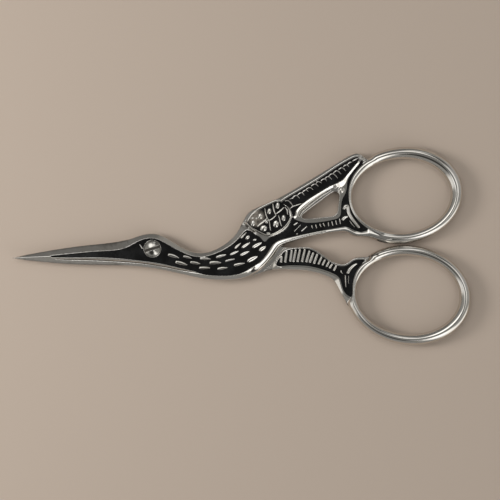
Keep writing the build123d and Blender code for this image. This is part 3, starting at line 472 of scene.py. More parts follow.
class Solid:
    """A body given by a function of the plan's maps and the height, negative inside."""

    def __init__(self, plan, maps, function):
        self.plan, self.function = plan, function
        self.maps = np.stack([np.broadcast_to(m, plan.shape).astype(np.float32) for m in maps], -1)

    def sample(self, x, y):
        plan = self.plan
        u = np.clip((x - plan.x[0]) / plan.step, 0, plan.shape[0] - 1.001)
        v = np.clip((y - plan.y[0]) / plan.step, 0, plan.shape[1] - 1.001)
        i, j = u.astype(np.int32), v.astype(np.int32)
        u, v = (u - i)[..., None].astype(np.float32), (v - j)[..., None].astype(np.float32)
        m = self.maps
        low = m[i, j] * (1 - v) + m[i, j + 1] * v
        high = m[i + 1, j] * (1 - v) + m[i + 1, j + 1] * v
        return low * (1 - u) + high * u

    def at(self, m, x, y, z):
        return self.function([m[..., k] for k in range(m.shape[-1])], x, y, z)

    def value(self, p):
        return self.at(self.sample(p[:, 0], p[:, 1]), p[:, 0], p[:, 1], p[:, 2])

    def slope(self, p, d):
        """(value, gradient) at each point."""
        x, y, z = p.T
        here = self.sample(x, y)
        g = np.empty(p.shape)
        g[:, 2] = (self.at(here, x, y, z + d) - self.at(here, x, y, z - d)) / (2 * d)
        value = self.at(here, x, y, z)
        g[:, 0] = (self.value(p + (d, 0, 0)) - self.value(p - (d, 0, 0))) / (2 * d)
        g[:, 1] = (self.value(p + (0, d, 0)) - self.value(p - (0, d, 0))) / (2 * d)
        return value, g

    def settle(self, p, rounds, limit, d=0.03):
        """The same points moved onto the surface."""
        for _ in range(rounds):
            f, g = self.slope(p, d)
            move = g * (f / np.maximum((g * g).sum(1), 0.05))[:, None]
            far = np.linalg.norm(move, axis=1)
            p = p - move * (np.minimum(far, limit) / np.maximum(far, 1e-9))[:, None]
        return p

    def normals(self, p, d=0.05):
        g = self.slope(p, d)[1]
        return g / np.maximum(np.linalg.norm(g, axis=1), 1e-9)[:, None]

    def net(self, low, high, step, rise=None):
        """(points, quads) of a closed net round the body; the grid may be finer in height."""
        rise = rise or step
        x = np.arange(low[0], high[0] + step, step)
        y = np.arange(low[1], high[1] + step, step)
        z = np.arange(low[2], high[2] + rise, rise)
        f = np.empty((len(x), len(y), len(z)), np.float32)
        for k in range(0, len(x), 60):
            xs, ys = np.meshgrid(x[k:k + 60], y, indexing="ij")
            m = self.sample(xs, ys)[:, :, None, :]
            f[k:k + 60] = self.at(m, xs[:, :, None], ys[:, :, None], z[None, None, :])
        f[[0, -1]] = f[:, [0, -1]] = f[:, :, [0, -1]] = 1
        inside = f < 0
        count = np.zeros([n - 1 for n in f.shape], np.uint8)
        for a in (0, 1):
            for b in (0, 1):
                for c in (0, 1):
                    count += inside[a:f.shape[0] - 1 + a, b:f.shape[1] - 1 + b, c:f.shape[2] - 1 + c]
        cells = np.flatnonzero((count > 0) & (count < 8))
        ids = np.full(count.size, -1, np.int32)
        ids[cells] = np.arange(len(cells))
        ids = ids.reshape(count.shape)
        total, share, quads = np.zeros((len(cells), 3)), np.zeros(len(cells)), []
        for axis in range(3):
            one = [slice(None)] * 3
            two = [slice(None)] * 3
            one[axis], two[axis] = slice(None, -1), slice(1, None)
            at = np.array(np.nonzero(inside[tuple(one)] != inside[tuple(two)]))
            unit = np.zeros((3, 1), int)
            unit[axis] = 1
            f0, f1 = f[tuple(at)], f[tuple(at + unit)]
            place = at.T.astype(float)
            place[:, axis] += f0 / (f0 - f1)
            u, v = (axis + 1) % 3, (axis + 2) % 3
            ring = []
            for a, b in ((0, 0), (-1, 0), (-1, -1), (0, -1)):
                cell = at.copy()
                cell[u] += a
                cell[v] += b
                n = ids[tuple(cell)]
                ring.append(n)
                share += np.bincount(n, minlength=len(cells))
                for k in range(3):
                    total[:, k] += np.bincount(n, place[:, k], minlength=len(cells))
            ring = np.stack(ring, 1)
            ring[f0 > 0] = ring[f0 > 0][:, ::-1]
            quads.append(ring)
        points = total / share[:, None] * (step, step, rise) + (x[0], y[0], z[0])
        return points, np.vstack(quads)


def main_part(points, quads):
    """The largest connected part of a net."""
    label = np.arange(len(points))
    while True:
        low = label[quads].min(1)
        new = label.copy()
        for k in range(4):
            np.minimum.at(new, quads[:, k], low)
        new = new[new]
        if (new == label).all():
            break
        label = new
    names, sizes = np.unique(label, return_counts=True)
    keep = label == names[np.argmax(sizes)]
    number = np.cumsum(keep) - 1
    return points[keep], number[quads[keep[quads[:, 0]]]]


def build(name, solid, low, high, step, rise=None, most=None, grime_and_shade=None):
    """A closed, evenly shaded mesh of a solid, as an object in metres. Its last argument holds two maps, for its top
    and its bottom, of where soiling and painted shade gather in the hollows."""
    points, quads = solid.net(low, high, step, rise)
    points, quads = main_part(points, quads)
    points = solid.settle(points, 3, 0.5 * (rise or step))
    a = np.linalg.norm(points[quads[:, 0]] - points[quads[:, 2]], axis=1)
    b = np.linalg.norm(points[quads[:, 1]] - points[quads[:, 3]], axis=1)
    turn = (a > b)[:, None]
    first = np.where(turn, quads[:, [0, 1, 3]], quads[:, [0, 1, 2]])
    second = np.where(turn, quads[:, [1, 2, 3]], quads[:, [0, 2, 3]])
    faces = np.vstack([first, second])
    mesh = mesh_of(name, points, faces)
    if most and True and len(faces) > most:
        obj = bpy.data.objects.new(name + "_dense", mesh)
        bpy.context.scene.collection.objects.link(obj)
        fewer = obj.modifiers.new("fewer", "DECIMATE")
        fewer.ratio = most / len(faces)
        evaluated = obj.evaluated_get(bpy.context.evaluated_depsgraph_get())
        light = bpy.data.meshes.new_from_object(evaluated)
        bpy.data.objects.remove(obj)
        bpy.data.meshes.remove(mesh)
        mesh = light
        mesh.name = name
        points = np.empty(len(mesh.vertices) * 3)
        mesh.vertices.foreach_get("co", points)
        points = solid.settle(points.reshape(-1, 3), 2, 0.03)
        mesh.vertices.foreach_set("co", points.ravel())
    normals = solid.normals(points)
    if grime_and_shade is not None:
        top, bottom = Solid(solid.plan, grime_and_shade, None).sample(points[:, 0], points[:, 1]).T
        # soiling and painted shade in the hollows, kept to faces that look up or down
        note(mesh, "crevice", np.where(points[:, 2] > MATE, top, bottom) * ramp(0.2, 0.7, np.abs(normals[:, 2])))
    shade(mesh, normals)
    obj = bpy.data.objects.new(name, mesh)
    bpy.context.scene.collection.objects.link(obj)
    mesh.transform(MM)
    mesh.update()
    return obj


MM = Matrix.Scale(0.001, 4)


def mesh_of(name, points, faces):
    mesh = bpy.data.meshes.new(name)
    mesh.vertices.add(len(points))
    mesh.vertices.foreach_set("co", np.asarray(points, np.float32).ravel())
    mesh.loops.add(faces.size)
    mesh.loops.foreach_set("vertex_index", faces.astype(np.int32).ravel())
    mesh.polygons.add(len(faces))
    mesh.polygons.foreach_set("loop_start", np.arange(0, faces.size, faces.shape[1], dtype=np.int32))
    mesh.update(calc_edges=True)
    return mesh


def shade(mesh, normals):
    """Smooth shading with the solid's own normals, and plain flat shading on the ground mating faces."""
    mesh.polygons.foreach_set("use_smooth", np.ones(len(mesh.polygons), bool))
    corner = np.empty(len(mesh.loops), np.int32)
    mesh.loops.foreach_get("vertex_index", corner)
    first, count = np.empty(len(mesh.polygons), np.int32), np.empty(len(mesh.polygons), np.int32)
    mesh.polygons.foreach_get("loop_start", first)
    mesh.polygons.foreach_get("loop_total", count)
    face, middle = np.empty(len(first) * 3), np.empty(len(first) * 3)
    mesh.polygons.foreach_get("normal", face)
    mesh.polygons.foreach_get("center", middle)
    face, middle = face.reshape(-1, 3), middle.reshape(-1, 3)
    ground = (np.abs(middle[:, 2] - MATE) < 0.08) & (np.abs(face[:, 2]) > 0.985)
    face = np.sign(face) * (0, 0, 1)
    owner = np.repeat(np.arange(len(first)), count)
    out = normals[corner]
    out[ground[owner]] = face[owner][ground[owner]]
    mesh.normals_split_custom_set(out)


def note(mesh, name, values):
    """A number at each vertex, which the materials read."""
    mesh.attributes.new(name, "FLOAT", "POINT").data.foreach_set("value", np.asarray(values, np.float32))


# ---------------------------------------------------------------- relief of a decorated face

def thinned(x):
    """How far the blades' outer face lies below the full thickness, towards the tip."""
    t = -6.0 - x
    return 1.25 / 30 * 0.5 * (np.sqrt(t * t + 9) + t)


def rims(plan, top, edges, fields, spine=None, window=None):
    """A face before its raised strokes: fields sunk between rims that slope or curve to the edges.
    edges holds (distance to an edge line, height left at it, 0 for a slope to 1 for a curve, how far
    the rim is rounded off at the field)."""
    field = fields[0]
    for other in fields[1:]:
        field = np.minimum(field, other)
    away = np.maximum(field, 0)
    near = away if spine is None else np.minimum(away, spine)
    fall = 0 * away
    nearest = np.minimum.reduce([e[0] for e in edges])
    for dist, room, curve, bead in edges:
        wide = np.clip(dist + near, 0.05, 2.3)
        v = np.minimum(dist / wide, 1)
        slope = np.minimum(room, 0.79 * wide) * np.clip(1 - v / 0.97, 0, 1)
        arch = (np.minimum(room, 0.5 * wide) * np.clip((0.34 - v) / 0.34, 0, 1) ** 2
                + np.minimum(0.42, 0.2 * wide) * np.clip((v - 0.34) / 0.66, 0, 1) ** 2)
        fall = np.maximum(fall, slope + (arch - slope) * curve)
        fall = np.maximum(fall, bead * np.clip(1 - away / 0.3, 0, 1) ** 2 * (dist <= nearest + 0.01))
    if window is not None:
        fall = np.maximum(fall, 0.5 * np.clip(1 - window / 0.45, 0, 1) ** 2)
        u = np.maximum(window, 0) / np.maximum(np.maximum(window, 0) + away, 0.2)
        fall = np.maximum(fall, 0.36 * (2 * u - 1) ** 2 * ramp(0.0, 0.6, 2.4 - window))
    floor = top - RECESS
    out = floor + (top - fall - floor) * ramp(-0.10, 0.02, field)
    return out.astype(np.float32), field


def raised(plan, height, floor, points, radius, crest, fullness=0.6):
    """Adds a raised stroke to a height map: radius is where it meets the lacquer, crest its height over the floor."""
    points = np.array(points, float)
    line = points if len(points) == 2 else even_line(points, round_by=0.15, step=0.08)
    if len(points) == 2:
        line = points[0] + (points[1] - points[0]) * np.linspace(0, 1, 9)[:, None]
    radius = np.interp(np.linspace(0, 1, len(line)), np.linspace(0, 1, len(radius)), radius)
    level = (1 - (LACQUER / crest) ** (1 / fullness)) ** 0.5
    q = plan.near(line[:-1], line[1:], 0, radius / level)
    crown = floor + crest * np.clip(1 - q * q, 0, 1) ** fullness
    return np.where(q < 1, np.maximum(height, crown), height)


def spots(plan, height, floor, ovals, crest, fullness=0.6, flat=0.0):
    """Adds raised ovals to a height map: centre, length, width, direction in degrees."""
    level = (1 - (LACQUER / crest) ** (1 / fullness)) ** 0.5
    for cx, cy, long, wide, turn in ovals:
        c, s = math.cos(math.radians(turn)), math.sin(math.radians(turn))
        x, y = plan.xx - cx, plan.yy - cy
        u, v = (x * c + y * s) / (long / 2 / level), (y * c - x * s) / (wide / 2 / level)
        q = np.sqrt(u * u + v * v)
        crown = floor + crest * np.clip(1 - q * q, 0, 1) ** fullness
        height = np.where(q < 1, np.maximum(height, crown), height)
    return height


def feathers(plan, height, floor, crest, field=None):
    """Raised feathers: blunt on the side of the head, thin towards the tail; only those well inside the field."""
    for cx, cy, long, wide, turn in FEATHERS:
        if field is not None and field[np.abs(plan.x - cx).argmin(), np.abs(plan.y - cy).argmin()] > -0.6:
            continue
        d = np.array((math.cos(math.radians(turn)), math.sin(math.radians(turn))))
        c = np.array((cx, cy))
        a, b = c - d * (long / 2 - wide * 0.45), c + d * (long / 2 - wide * 0.2)
        mid = c + np.array((-d[1], d[0])) * wide * 0.04
        height = raised(plan, height, floor, [a, mid, b],
                        [wide * 0.44, wide * 0.5, wide * 0.42, wide * 0.2], crest, 0.32)
    return height


def cut(plan, height, points, radius, depth):
    """Cuts a groove that tapers out at both ends into a height map."""
    line = even_line(points, round_by=0.3, step=0.1)
    t = np.linspace(0, 1, len(line))
    taper = np.clip(np.minimum(t, 1 - t) / 0.12, 0.05, 1)
    q = plan.near(line[:-1], line[1:], 0, radius * (0.5 + 0.5 * taper))
    k = np.clip(1 - q * q, 0, 1) ** 1.5
    return (height - depth * k).astype(np.float32)


def kept_inside(field, plain, height):
    """The raised strokes faded into the rims, away from the fields."""
    return plain + (height - plain) * ramp(-0.55, -0.2, -field)


def tail_and_wing(plan, height, floor):
    """The strokes that both faces of the front half carry: wing, tail, shank and scroll."""
    for line, r in zip(VEINS, (0.25, 0.2, 0.22, 0.19, 0.19, 0.22, 0.19, 0.22)):
        height = raised(plan, height, floor, line, [r * 0.8, r, r, r * 0.7], 0.44)
    height = spots(plan, height, floor, PEARLS, 0.42)
    height = raised(plan, height, floor, WING_BORDER[0], [0.2, 0.28, 0.30, 0.34, 0.3, 0.16], 0.46)
    for line in BARBS:
        height = raised(plan, height, floor, line, [0.10, 0.16, 0.15, 0.06], 0.34)
    for line, r in zip(TICKS, [0.2, 0.13, 0.19, 0.18] + [0.16] * 8):
        height = raised(plan, height, floor, line, [r, r * 0.8], 0.38)
    height = raised(plan, height, floor, SCROLL[0], [0.34, 0.42, 0.40, 0.36, 0.34, 0.30], 0.42)
    height = raised(plan, height, floor, SCROLL[1], [0.34, 0.34, 0.24], 0.40)
    height = raised(plan, height, floor, SCROLL[2], [0.08, 0.12, 0.1], 0.36)
    return height


def leg_strokes(plan, height, floor):
    """The ribs and the scroll of the leg, on both faces of the back half."""
    for k, line in enumerate(RIBS):
        r = 0.31 if k < 9 else 0.25
        height = raised(plan, height, floor, line, [r * 0.85, r, r * 0.95], 0.35)
    for line, r in zip(LEG_SCROLL, ([0.2, 0.2, 0.14], [0.24, 0.33, 0.36, 0.36], [0.2, 0.2, 0.1], [0.1, 0.12, 0.08])):
        height = raised(plan, height, floor, line, r, 0.44)
    return height


def tube(out, hole, z):
    """Section of a finger ring between its outer and inner edge."""
    half = np.maximum((hole - out) * 0.5, 0.05)
    q = np.sqrt(((out + hole) * 0.5 / half) ** 2 + ((z - THICK / 2) / (THICK / 2)) ** 2)
    return (q - 1) * np.minimum(half, THICK / 2)


def joined(body, out, hole, z, web):
    """A half's body and its finger ring in one, with a fillet between them that fades out at both faces."""
    web = web * np.clip((1 - np.abs(z / (THICK / 2) - 1)) * 2.5, 0.12, 1)
    both = soft_min(body, tube(out, hole, z), web)
    return soft_max(both, np.maximum(np.maximum(-z, z - THICK), -hole), 0.03)


def into_ring(plan, height, out, hole, ends):
    """A face lowered to the finger ring's own section where the outline runs out on it."""
    half = np.maximum((hole - out) * 0.5, 0.05)
    u = np.clip((out + hole) * 0.5 / half, -1, 1)
    crown = THICK / 2 * (1 + np.sqrt(1 - u * u))
    for (x, y), reach in ends:
        near = 1 - ramp(0.3, reach, np.hypot(plan.xx - x, plan.yy - y))
        height = height + (np.minimum(crown, height) - height) * near
    return height.astype(np.float32)


def ring_edge(ring, side):
    """Outer edge of a ring, which follows a traced line where it lies beside a field."""
    centre = np.array(ring[:2])
    side = even_line(side, round_by=0.4)
    out = side - centre
    out /= np.linalg.norm(out, axis=1)[:, None]
    t = np.linspace(0, 1, len(side))[:, None]
    side = side + out * 0.39 * np.sin(np.pi * t) ** 0.5
    top, bottom = angle_on(ring, side[0]), angle_on(ring, side[-1]) - 360
    around = oval(ring, 0, bottom + 3, top - 3)
    return even_line(np.vstack([around, side])[::3], closed=True, round_by=0.4)


def grime_and_painted_shade(plan, height, field):
    """Where soiling and painted shade darken the metal: in the grooves of the rims and on the floors between raised
    strokes, wherever the face lies below its blurred surroundings.
    """
    deep = plan.blur(height, 0.35) - height
    return (ramp(0.045, 0.16, deep) * ramp(0.0, 0.12, field)).astype(np.float32)


# ---------------------------------------------------------------- front half

def corner_beads(plan, height):
    """The dimple and the two small beads at the window's corner beside the ring."""
    for (x, y), r, rise in ((BAR_DIMPLE, 0.42, -0.22), (BAR_PEARLS[0], 0.72, 0.3), (BAR_PEARLS[1], 0.34, 0.18)):
        q = np.hypot(plan.xx - x, plan.yy - y) / r
        height = height + rise * np.clip(1 - q * q, 0, 1)
    return height.astype(np.float32)


front = Plan(-36.3, 79.7, -9.4, 24.3, PLAN_STEP)
spine = even_line([(-25.65, -1.05), (-30.0, -1.04), (-35.25, -1.1)], round_by=0.1)
top_edge = even_line(FRONT_TOP, round_by=0.6)
low_edge = even_line(FRONT_BOTTOM, round_by=0.6)
arc = oval(UPPER_IN, 0.6, angle_on(UPPER_IN, FRONT_TOP[-1]), angle_on(UPPER_IN, FRONT_BOTTOM[0]))
front_outline = np.vstack([top_edge, arc, low_edge[:-1]])
to_top, to_low = front.line(top_edge), front.line(low_edge)
window = front.area(even_line(WINDOW, closed=True, round_by=0.35))
edge = np.maximum(front.area(front_outline, 3.0), -window)
step_line = even_line(STEP_LINE, round_by=0.3)
step = front.area(np.vstack([step_line, [(50, -2.5), (90, -2.5), (90, 40), (18.05, 40)]]), 1.5)
body_field = front.area(even_line(FIELD_BODY, closed=True, round_by=0.22))
tail_field = front.area(even_line(FIELD_TAIL, closed=True, round_by=0.25))
wing_field = front.area(even_line(FIELD_WING, closed=True, round_by=0.25))
shank_field = front.area(even_line(FIELD_BACK_SHANK, closed=True, round_by=0.22))

ring_out = front.area(ring_edge(UPPER_OUT, UPPER_SIDE), 3.6)
ring_in = front.area(oval(UPPER_IN), 3.6)
run_out = [(FRONT_BOTTOM[0], 4.0)]
run = ramp(0.0, 3.5, np.hypot(front.xx - FRONT_BOTTOM[0][0], front.yy - FRONT_BOTTOM[0][1]))
edge = edge + 0.4 * (1 - run)

x = front.xx
full = THICK - thinned(x)
room = np.minimum(1.5, full - (MATE + 0.2)) + 0 * front.yy
curved = ramp(22.5, 27.0, x) + 0 * front.yy
height, fields = rims(
    front, full, [(to_top, room, 0 * room, 0.0), (to_low, room, curved, 0.13)],
    [body_field, tail_field, wing_field], front.line(spine), window)
floor = full - RECESS
wide = 0.85 + 0.8 * np.exp(-((front.xx - 47.9) ** 2 + (front.yy - 14.2) ** 2) / 1.5**2)
bevel = 0.28 * wide * np.clip(1 - np.abs(tail_field) / wide, 0, 1) ** 1.2 * (tail_field > -0.1) * ramp(1.7, 2.3, to_top)
height = (height - bevel).astype(np.float32)
height = cut(front, height, NECK_GROOVE, 0.22, 0.24)
height = cut(front, height, SHANK_GROOVE, 0.2, 0.2)
height = cut(front, height, BAR_GROOVE, 0.3, 0.26)
height = corner_beads(front, height)
for side in (-0.42, 0.42):
    beside = [(px + 0.64 * side, py + 0.77 * side) for px, py in [(23.4, 5.84)] + WING_BORDER[0][1:4]]
    height = cut(front, height, beside, 0.36, 0.26)
plain = height
height = feathers(front, height, floor, 0.43)
height = raised(front, height, floor, LASH[0], [0.08, 0.16, 0.2], 0.38)
height = kept_inside(fields, plain, tail_and_wing(front, height, floor))
eye = np.hypot(front.xx, front.yy)
collar = floor + 0.31 * np.clip(1 - ((eye - 2.14) / 0.13) ** 2, 0, 1) ** 0.5
height = np.where(np.abs(eye - 2.14) < 0.13, np.maximum(height, collar), height)
height = into_ring(front, height, ring_out, ring_in, run_out)
front_top = front.blur(height, 0.05)
# map of soiling and painted shade in the hollows of the front face's metal
front_grime_and_shade = grime_and_painted_shade(front, height, fields)

height, back_fields = rims(
    front, THICK, [(to_top, 1.5, 0.0, 0.0), (to_low, 1.5, curved, 0.1)],
    [shank_field, tail_field, wing_field], None, window)
height = cut(front, (height - bevel).astype(np.float32), BAR_GROOVE, 0.3, 0.26)
height = corner_beads(front, height)
height = kept_inside(back_fields, height, tail_and_wing(front, height, THICK - RECESS))
height = into_ring(front, height, ring_out, ring_in, run_out)
front_bottom = THICK - front.blur(height, 0.05)
front_grime_and_shade = [front_grime_and_shade, grime_and_painted_shade(front, height, back_fields)]

web = np.clip(0.7 + edge * 0.7, 0.1, 0.7) * (0.08 + 0.92 * run)


def front_shape(m, x, y, z):
    edge, step, top, even_top, low, even_low, out, hole, web = m
    above, below = (z - top) * even_top, (low - z) * even_low
    plate = soft_max(edge, above, 0.14)
    upper = soft_max(plate, MATE + GAP - z, 0.05)
    lower = soft_max(soft_max(np.maximum(edge, step), above, 0.14), below, 0.14)
    body = joined(np.minimum(upper, lower), out, hole, z, web)
    r = np.sqrt(x * x + y * y)
    seat = np.minimum(np.maximum(r - SEAT_R, HEAD_BOTTOM - z), r - HOLE_R)
    return soft_max(body, -seat, 0.04)


front_solid = Solid(front, [edge, step, front_top, front.evenness(front_top), front_bottom,
                            front.evenness(front_bottom), ring_out, ring_in, web], front_shape)
front_half = build("front_half_sculpted", front_solid, (-36.2, -9.3, -0.35), (79.6, 24.2, 4.1),
                   NET_STEP, most=MOST_TRIANGLES, grime_and_shade=front_grime_and_shade)

# ---------------------------------------------------------------- back half

back = Plan(-36.3, 80.4, -27.4, 4.8, PLAN_STEP)
top_edge = even_line(BACK_TOP, round_by=0.6)
leg_low = even_line(BACK_BOTTOM, round_by=0.6)
belly = even_line(BACK_BELLY, round_by=0.6)
arc = oval(LOWER_IN, 0.6, angle_on(LOWER_IN, BACK_TOP[-1]), angle_on(LOWER_IN, BACK_BOTTOM[0]))
back_outline = np.vstack([top_edge, arc, leg_low, belly[1:-1]])
to_top, to_leg, to_belly = back.line(top_edge), back.line(leg_low), back.line(belly)
edge = back.area(back_outline, 3.0)
leg_edge = even_line(LEG_EDGE, round_by=0.3)
to_step = back.line(leg_edge)
leg = back.area(np.vstack([leg_edge, [(33.6, 3), (90, 3), (90, -40), (26, -40), (26.6, -7.6)]]), 1.5)
leg_field = back.area(even_line(FIELD_LEG, closed=True, round_by=0.22))
under_field = back.area(even_line(FIELD_BACK_BODY, closed=True, round_by=0.22))

ring_out = back.area(ring_edge(LOWER_OUT, LOWER_SIDE), 3.6)
ring_in = back.area(oval(LOWER_IN), 3.6)
run_out = [(BACK_BOTTOM[0], 1.4), (BACK_TOP[-1], 2.0)]
run = ramp(0.0, 1.5, np.hypot(back.xx - BACK_BOTTOM[0][0], back.yy - BACK_BOTTOM[0][1]))
edge = edge + 0.25 * (1 - run)

x = back.xx
full = THICK - thinned(x)
room = np.minimum(1.5, full - (MATE + 0.2)) + 0 * back.yy
height, fields = rims(
    back, THICK, [(to_top, 1.5, 0.0, 0.0), (to_leg, 1.5, 0.0, 0.0), (to_step, 0.5, 1.0, 0.05)], [leg_field])
height = leg_strokes(back, height, THICK - RECESS)
height = into_ring(back, height, ring_out, ring_in, run_out)
back_top = back.blur(height, 0.05)
# map of soiling and painted shade in the hollows of the back half's metal
back_grime_and_shade = grime_and_painted_shade(back, height, fields)

spine = even_line([(-25.65, -0.75), (-30.0, -0.95), (-35.25, -1.1)], round_by=0.1)
height, fields = rims(
    back, full, [(to_top, room, 0 * room, 0.0), (to_leg, 1.5 + 0 * room, 0 * room, 0.0), (to_belly, room, 0 * room, 0.1)],
    [under_field], back.line(spine))
floor = full - RECESS
height = feathers(back, height, floor, 0.43, under_field)
height = leg_strokes(back, height, floor)
eye = np.hypot(back.xx, back.yy)
boss = THICK - RECESS + (RECESS - 0.02) * ramp(-BOSS_R - 0.04, -BOSS_R + 0.14, -eye)
height = np.where(eye < BOSS_R + 0.04, boss, height)
height = into_ring(back, height, ring_out, ring_in, run_out)
back_bottom = THICK - back.blur(height, 0.05)
back_grime_and_shade = [back_grime_and_shade, grime_and_painted_shade(back, height, fields)]

web = np.clip(0.7 + edge * 0.7, 0.1, 0.7) * (0.08 + 0.92 * run)


def back_shape(m, x, y, z):
    edge, leg, top, even_top, low, even_low, out, hole, web = m
    above, below = (z - top) * even_top, (low - z) * even_low
    plate = soft_max(edge, below, 0.14)
    lower = soft_max(plate, z - (MATE - GAP), 0.05)
    upper = soft_max(soft_max(soft_max(edge, leg + 0.1, 0.1), above, 0.14), below, 0.14)
    body = joined(np.minimum(upper, lower), out, hole, z, web)
    r = np.sqrt(x * x + y * y)
    return soft_max(body, THREAD_R + 0.02 - r, 0.04)


back_solid = Solid(back, [edge, leg, back_top, back.evenness(back_top), back_bottom,
                          back.evenness(back_bottom), ring_out, ring_in, web], back_shape)
back_half = build("back_half_sculpted", back_solid, (-36.2, -27.3, -0.35), (80.3, 4.7, 4.1),
                  NET_STEP, most=MOST_TRIANGLES, grime_and_shade=back_grime_and_shade)

# ---------------------------------------------------------------- lacquer

def lacquer(name, plan, area, face, low, high, eye=0.0):
    """The lacquer in one field: a thin closed slab, its outer face toward the front (1) or the back (-1)."""
    full = THICK - thinned(plan.xx)

    def shape(m, x, y, z):
        area, full = m
        h = z if face > 0 else THICK - z
        f = soft_max(area - 0.18, h - (full - RECESS + LACQUER), 0.03)
        f = soft_max(f, full - RECESS - 0.07 - h, 0.03)
        if eye:
            f = np.maximum(f, eye - np.sqrt(x * x + y * y))
        return f

    z = (2.2, 3.7) if face > 0 else (-0.1, 1.4)
    solid = Solid(plan, [area, full + 0 * plan.yy], shape)
    step = 0.2
    return build(name, solid, (low[0], low[1], z[0]), (high[0], high[1], z[1]), step, 0.08)


front_body_lacquer = lacquer("front_body_lacquer_coat", front, body_field, 1, (-26.5, -8), (54.5, 21.2), 2.15)
front_tail_lacquer = lacquer("front_tail_lacquer_coat", front, tail_field, 1, (32, 6.5), (53, 21.5))
front_wing_lacquer = lacquer("front_wing_lacquer_coat", front, wing_field, 1, (23.5, 2), (35, 11))
back_shank_lacquer = lacquer("back_shank_lacquer_coat", front, shank_field, -1, (32.5, 1), (54.5, 21.2))
back_tail_lacquer = lacquer("back_tail_lacquer_coat", front, tail_field, -1, (32, 6.5), (53, 21.5))
back_wing_lacquer = lacquer("back_wing_lacquer_coat", front, wing_field, -1, (23.5, 2), (35, 11))
leg_lacquer = lacquer("leg_lacquer_coat", back, leg_field, 1, (30, -14.5), (53.5, -1))
back_body_lacquer = lacquer("back_body_lacquer_coat", back, under_field, -1, (-26.5, -14.5), (53.5, 3.2), BOSS_R - 0.05)

# ---------------------------------------------------------------- screw

screw_plan = Plan(-2.4, 2.4, -2.4, 2.4, 0.1)


def screw_shape(m, x, y, z):
    r = np.sqrt(x * x + y * y)
    dome = z - (HEAD_TOP - (HEAD_TOP - HEAD_RIM) * (r / HEAD_R) ** 2)
    dome = dome / np.sqrt(1 + (2 * (HEAD_TOP - HEAD_RIM) * r / HEAD_R**2) ** 2)
    head = soft_max(soft_max(r - HEAD_R, dome, 0.14), HEAD_BOTTOM + 0.02 - z, 0.05)
    c, s = math.cos(math.radians(SLOT_ANGLE)), math.sin(math.radians(SLOT_ANGLE))
    slot = soft_max(np.abs(y * c - x * s) - 0.3, 3.52 - z, 0.05)
    head = soft_max(head, -slot, 0.07)
    shank = np.maximum(np.maximum(r - SHANK_R, MATE + 0.02 - z), z - 3.4)
    end = soft_max(soft_max(r - THREAD_R, 0.0 + 0.06 * (r / THREAD_R) ** 2 - z, 0.1), z - 3.4, 0.05)
    return np.minimum(np.minimum(head, shank), end)


screw_solid = Solid(screw_plan, [0.0], screw_shape)
pivot_screw = build("pivot_screw_turned", screw_solid, (-2.2, -2.2, -0.3), (2.2, 2.2, 4.2),
                    0.05, most=40000)


# ---------------------------------------------------------------- bodies and nodes

for piece, node, body, finish in (
    (front_half, "front_half", "front", "polished_plating"),
    (front_body_lacquer, "front_body_lacquer", "front", "black_lacquer"),
    (front_tail_lacquer, "front_tail_lacquer", "front", "black_lacquer"),
    (front_wing_lacquer, "front_wing_lacquer", "front", "black_lacquer"),
    (back_shank_lacquer, "back_shank_lacquer", "front", "black_lacquer"),
    (back_tail_lacquer, "back_tail_lacquer", "front", "black_lacquer"),
    (back_wing_lacquer, "back_wing_lacquer", "front", "black_lacquer"),
    (back_half, "back_half", "back", "polished_plating"),
    (leg_lacquer, "leg_lacquer", "back", "black_lacquer"),
    (back_body_lacquer, "back_body_lacquer", "back", "black_lacquer"),
    (pivot_screw, "pivot_screw", "back", "screw_steel"),
):
    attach(piece, body)
    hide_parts(node)


# ---------------------------------------------------------------- materials

class Nodes:
    """Short names for the nodes of a material or a world."""

    def __init__(self, tree):
        self.tree = tree
        tree.nodes.clear()

    def add(self, kind, **values):
        node = self.tree.nodes.new(kind)
        for key, value in values.items():
            if hasattr(node, key):
                setattr(node, key, value)
            else:
                self.put(node.inputs[key.replace("_", " ")], value)
        return node

    def put(self, socket, value):
        if isinstance(value, bpy.types.NodeSocket):
            self.tree.links.new(value, socket)
        else:
            socket.default_value = value

    def math(self, operation, a, b=0.0, c=0.0):
        node = self.tree.nodes.new("ShaderNodeMath")
        node.operation = operation
        for socket, value in zip(node.inputs, (a, b, c)):
            self.put(socket, value)
        return node.outputs[0]

    def remap(self, value, low, high, to_low, to_high, smooth=True):
        node = self.tree.nodes.new("ShaderNodeMapRange")
        node.interpolation_type = "SMOOTHSTEP" if smooth else "LINEAR"
        for socket, v in zip(node.inputs, (value, low, high, to_low, to_high)):
            self.put(socket, v)
        return node.outputs[0]

    def mix(self, factor, a, b):
        node = self.tree.nodes.new("ShaderNodeMix")
        node.data_type = "RGBA"
        self.put(node.inputs[0], factor)
        self.put(node.inputs[6], a)
        self.put(node.inputs[7], b)
        return node.outputs[2]

    def noise(self, place, scale, detail=2.0, rough=0.5, distortion=0.0):
        node = self.tree.nodes.new("ShaderNodeTexNoise")
        self.put(node.inputs["Vector"], place)
        node.inputs["Scale"].default_value = scale
        node.inputs["Detail"].default_value = detail
        node.inputs["Roughness"].default_value = rough
        node.inputs["Distortion"].default_value = distortion
        return node.outputs[0]


def place_of(n, stretch=(1, 1, 1), turn=0.0):
    """A point's own coordinates, in millimetres, stretched for brushed or scratched marks."""
    where = n.tree.nodes.new("ShaderNodeTexCoord").outputs["Object"]
    node = n.tree.nodes.new("ShaderNodeMapping")
    n.put(node.inputs["Vector"], where)
    node.inputs["Rotation"].default_value = (0, 0, math.radians(turn))
    node.inputs["Scale"].default_value = tuple(1000 * s for s in stretch)
    return node.outputs[0]


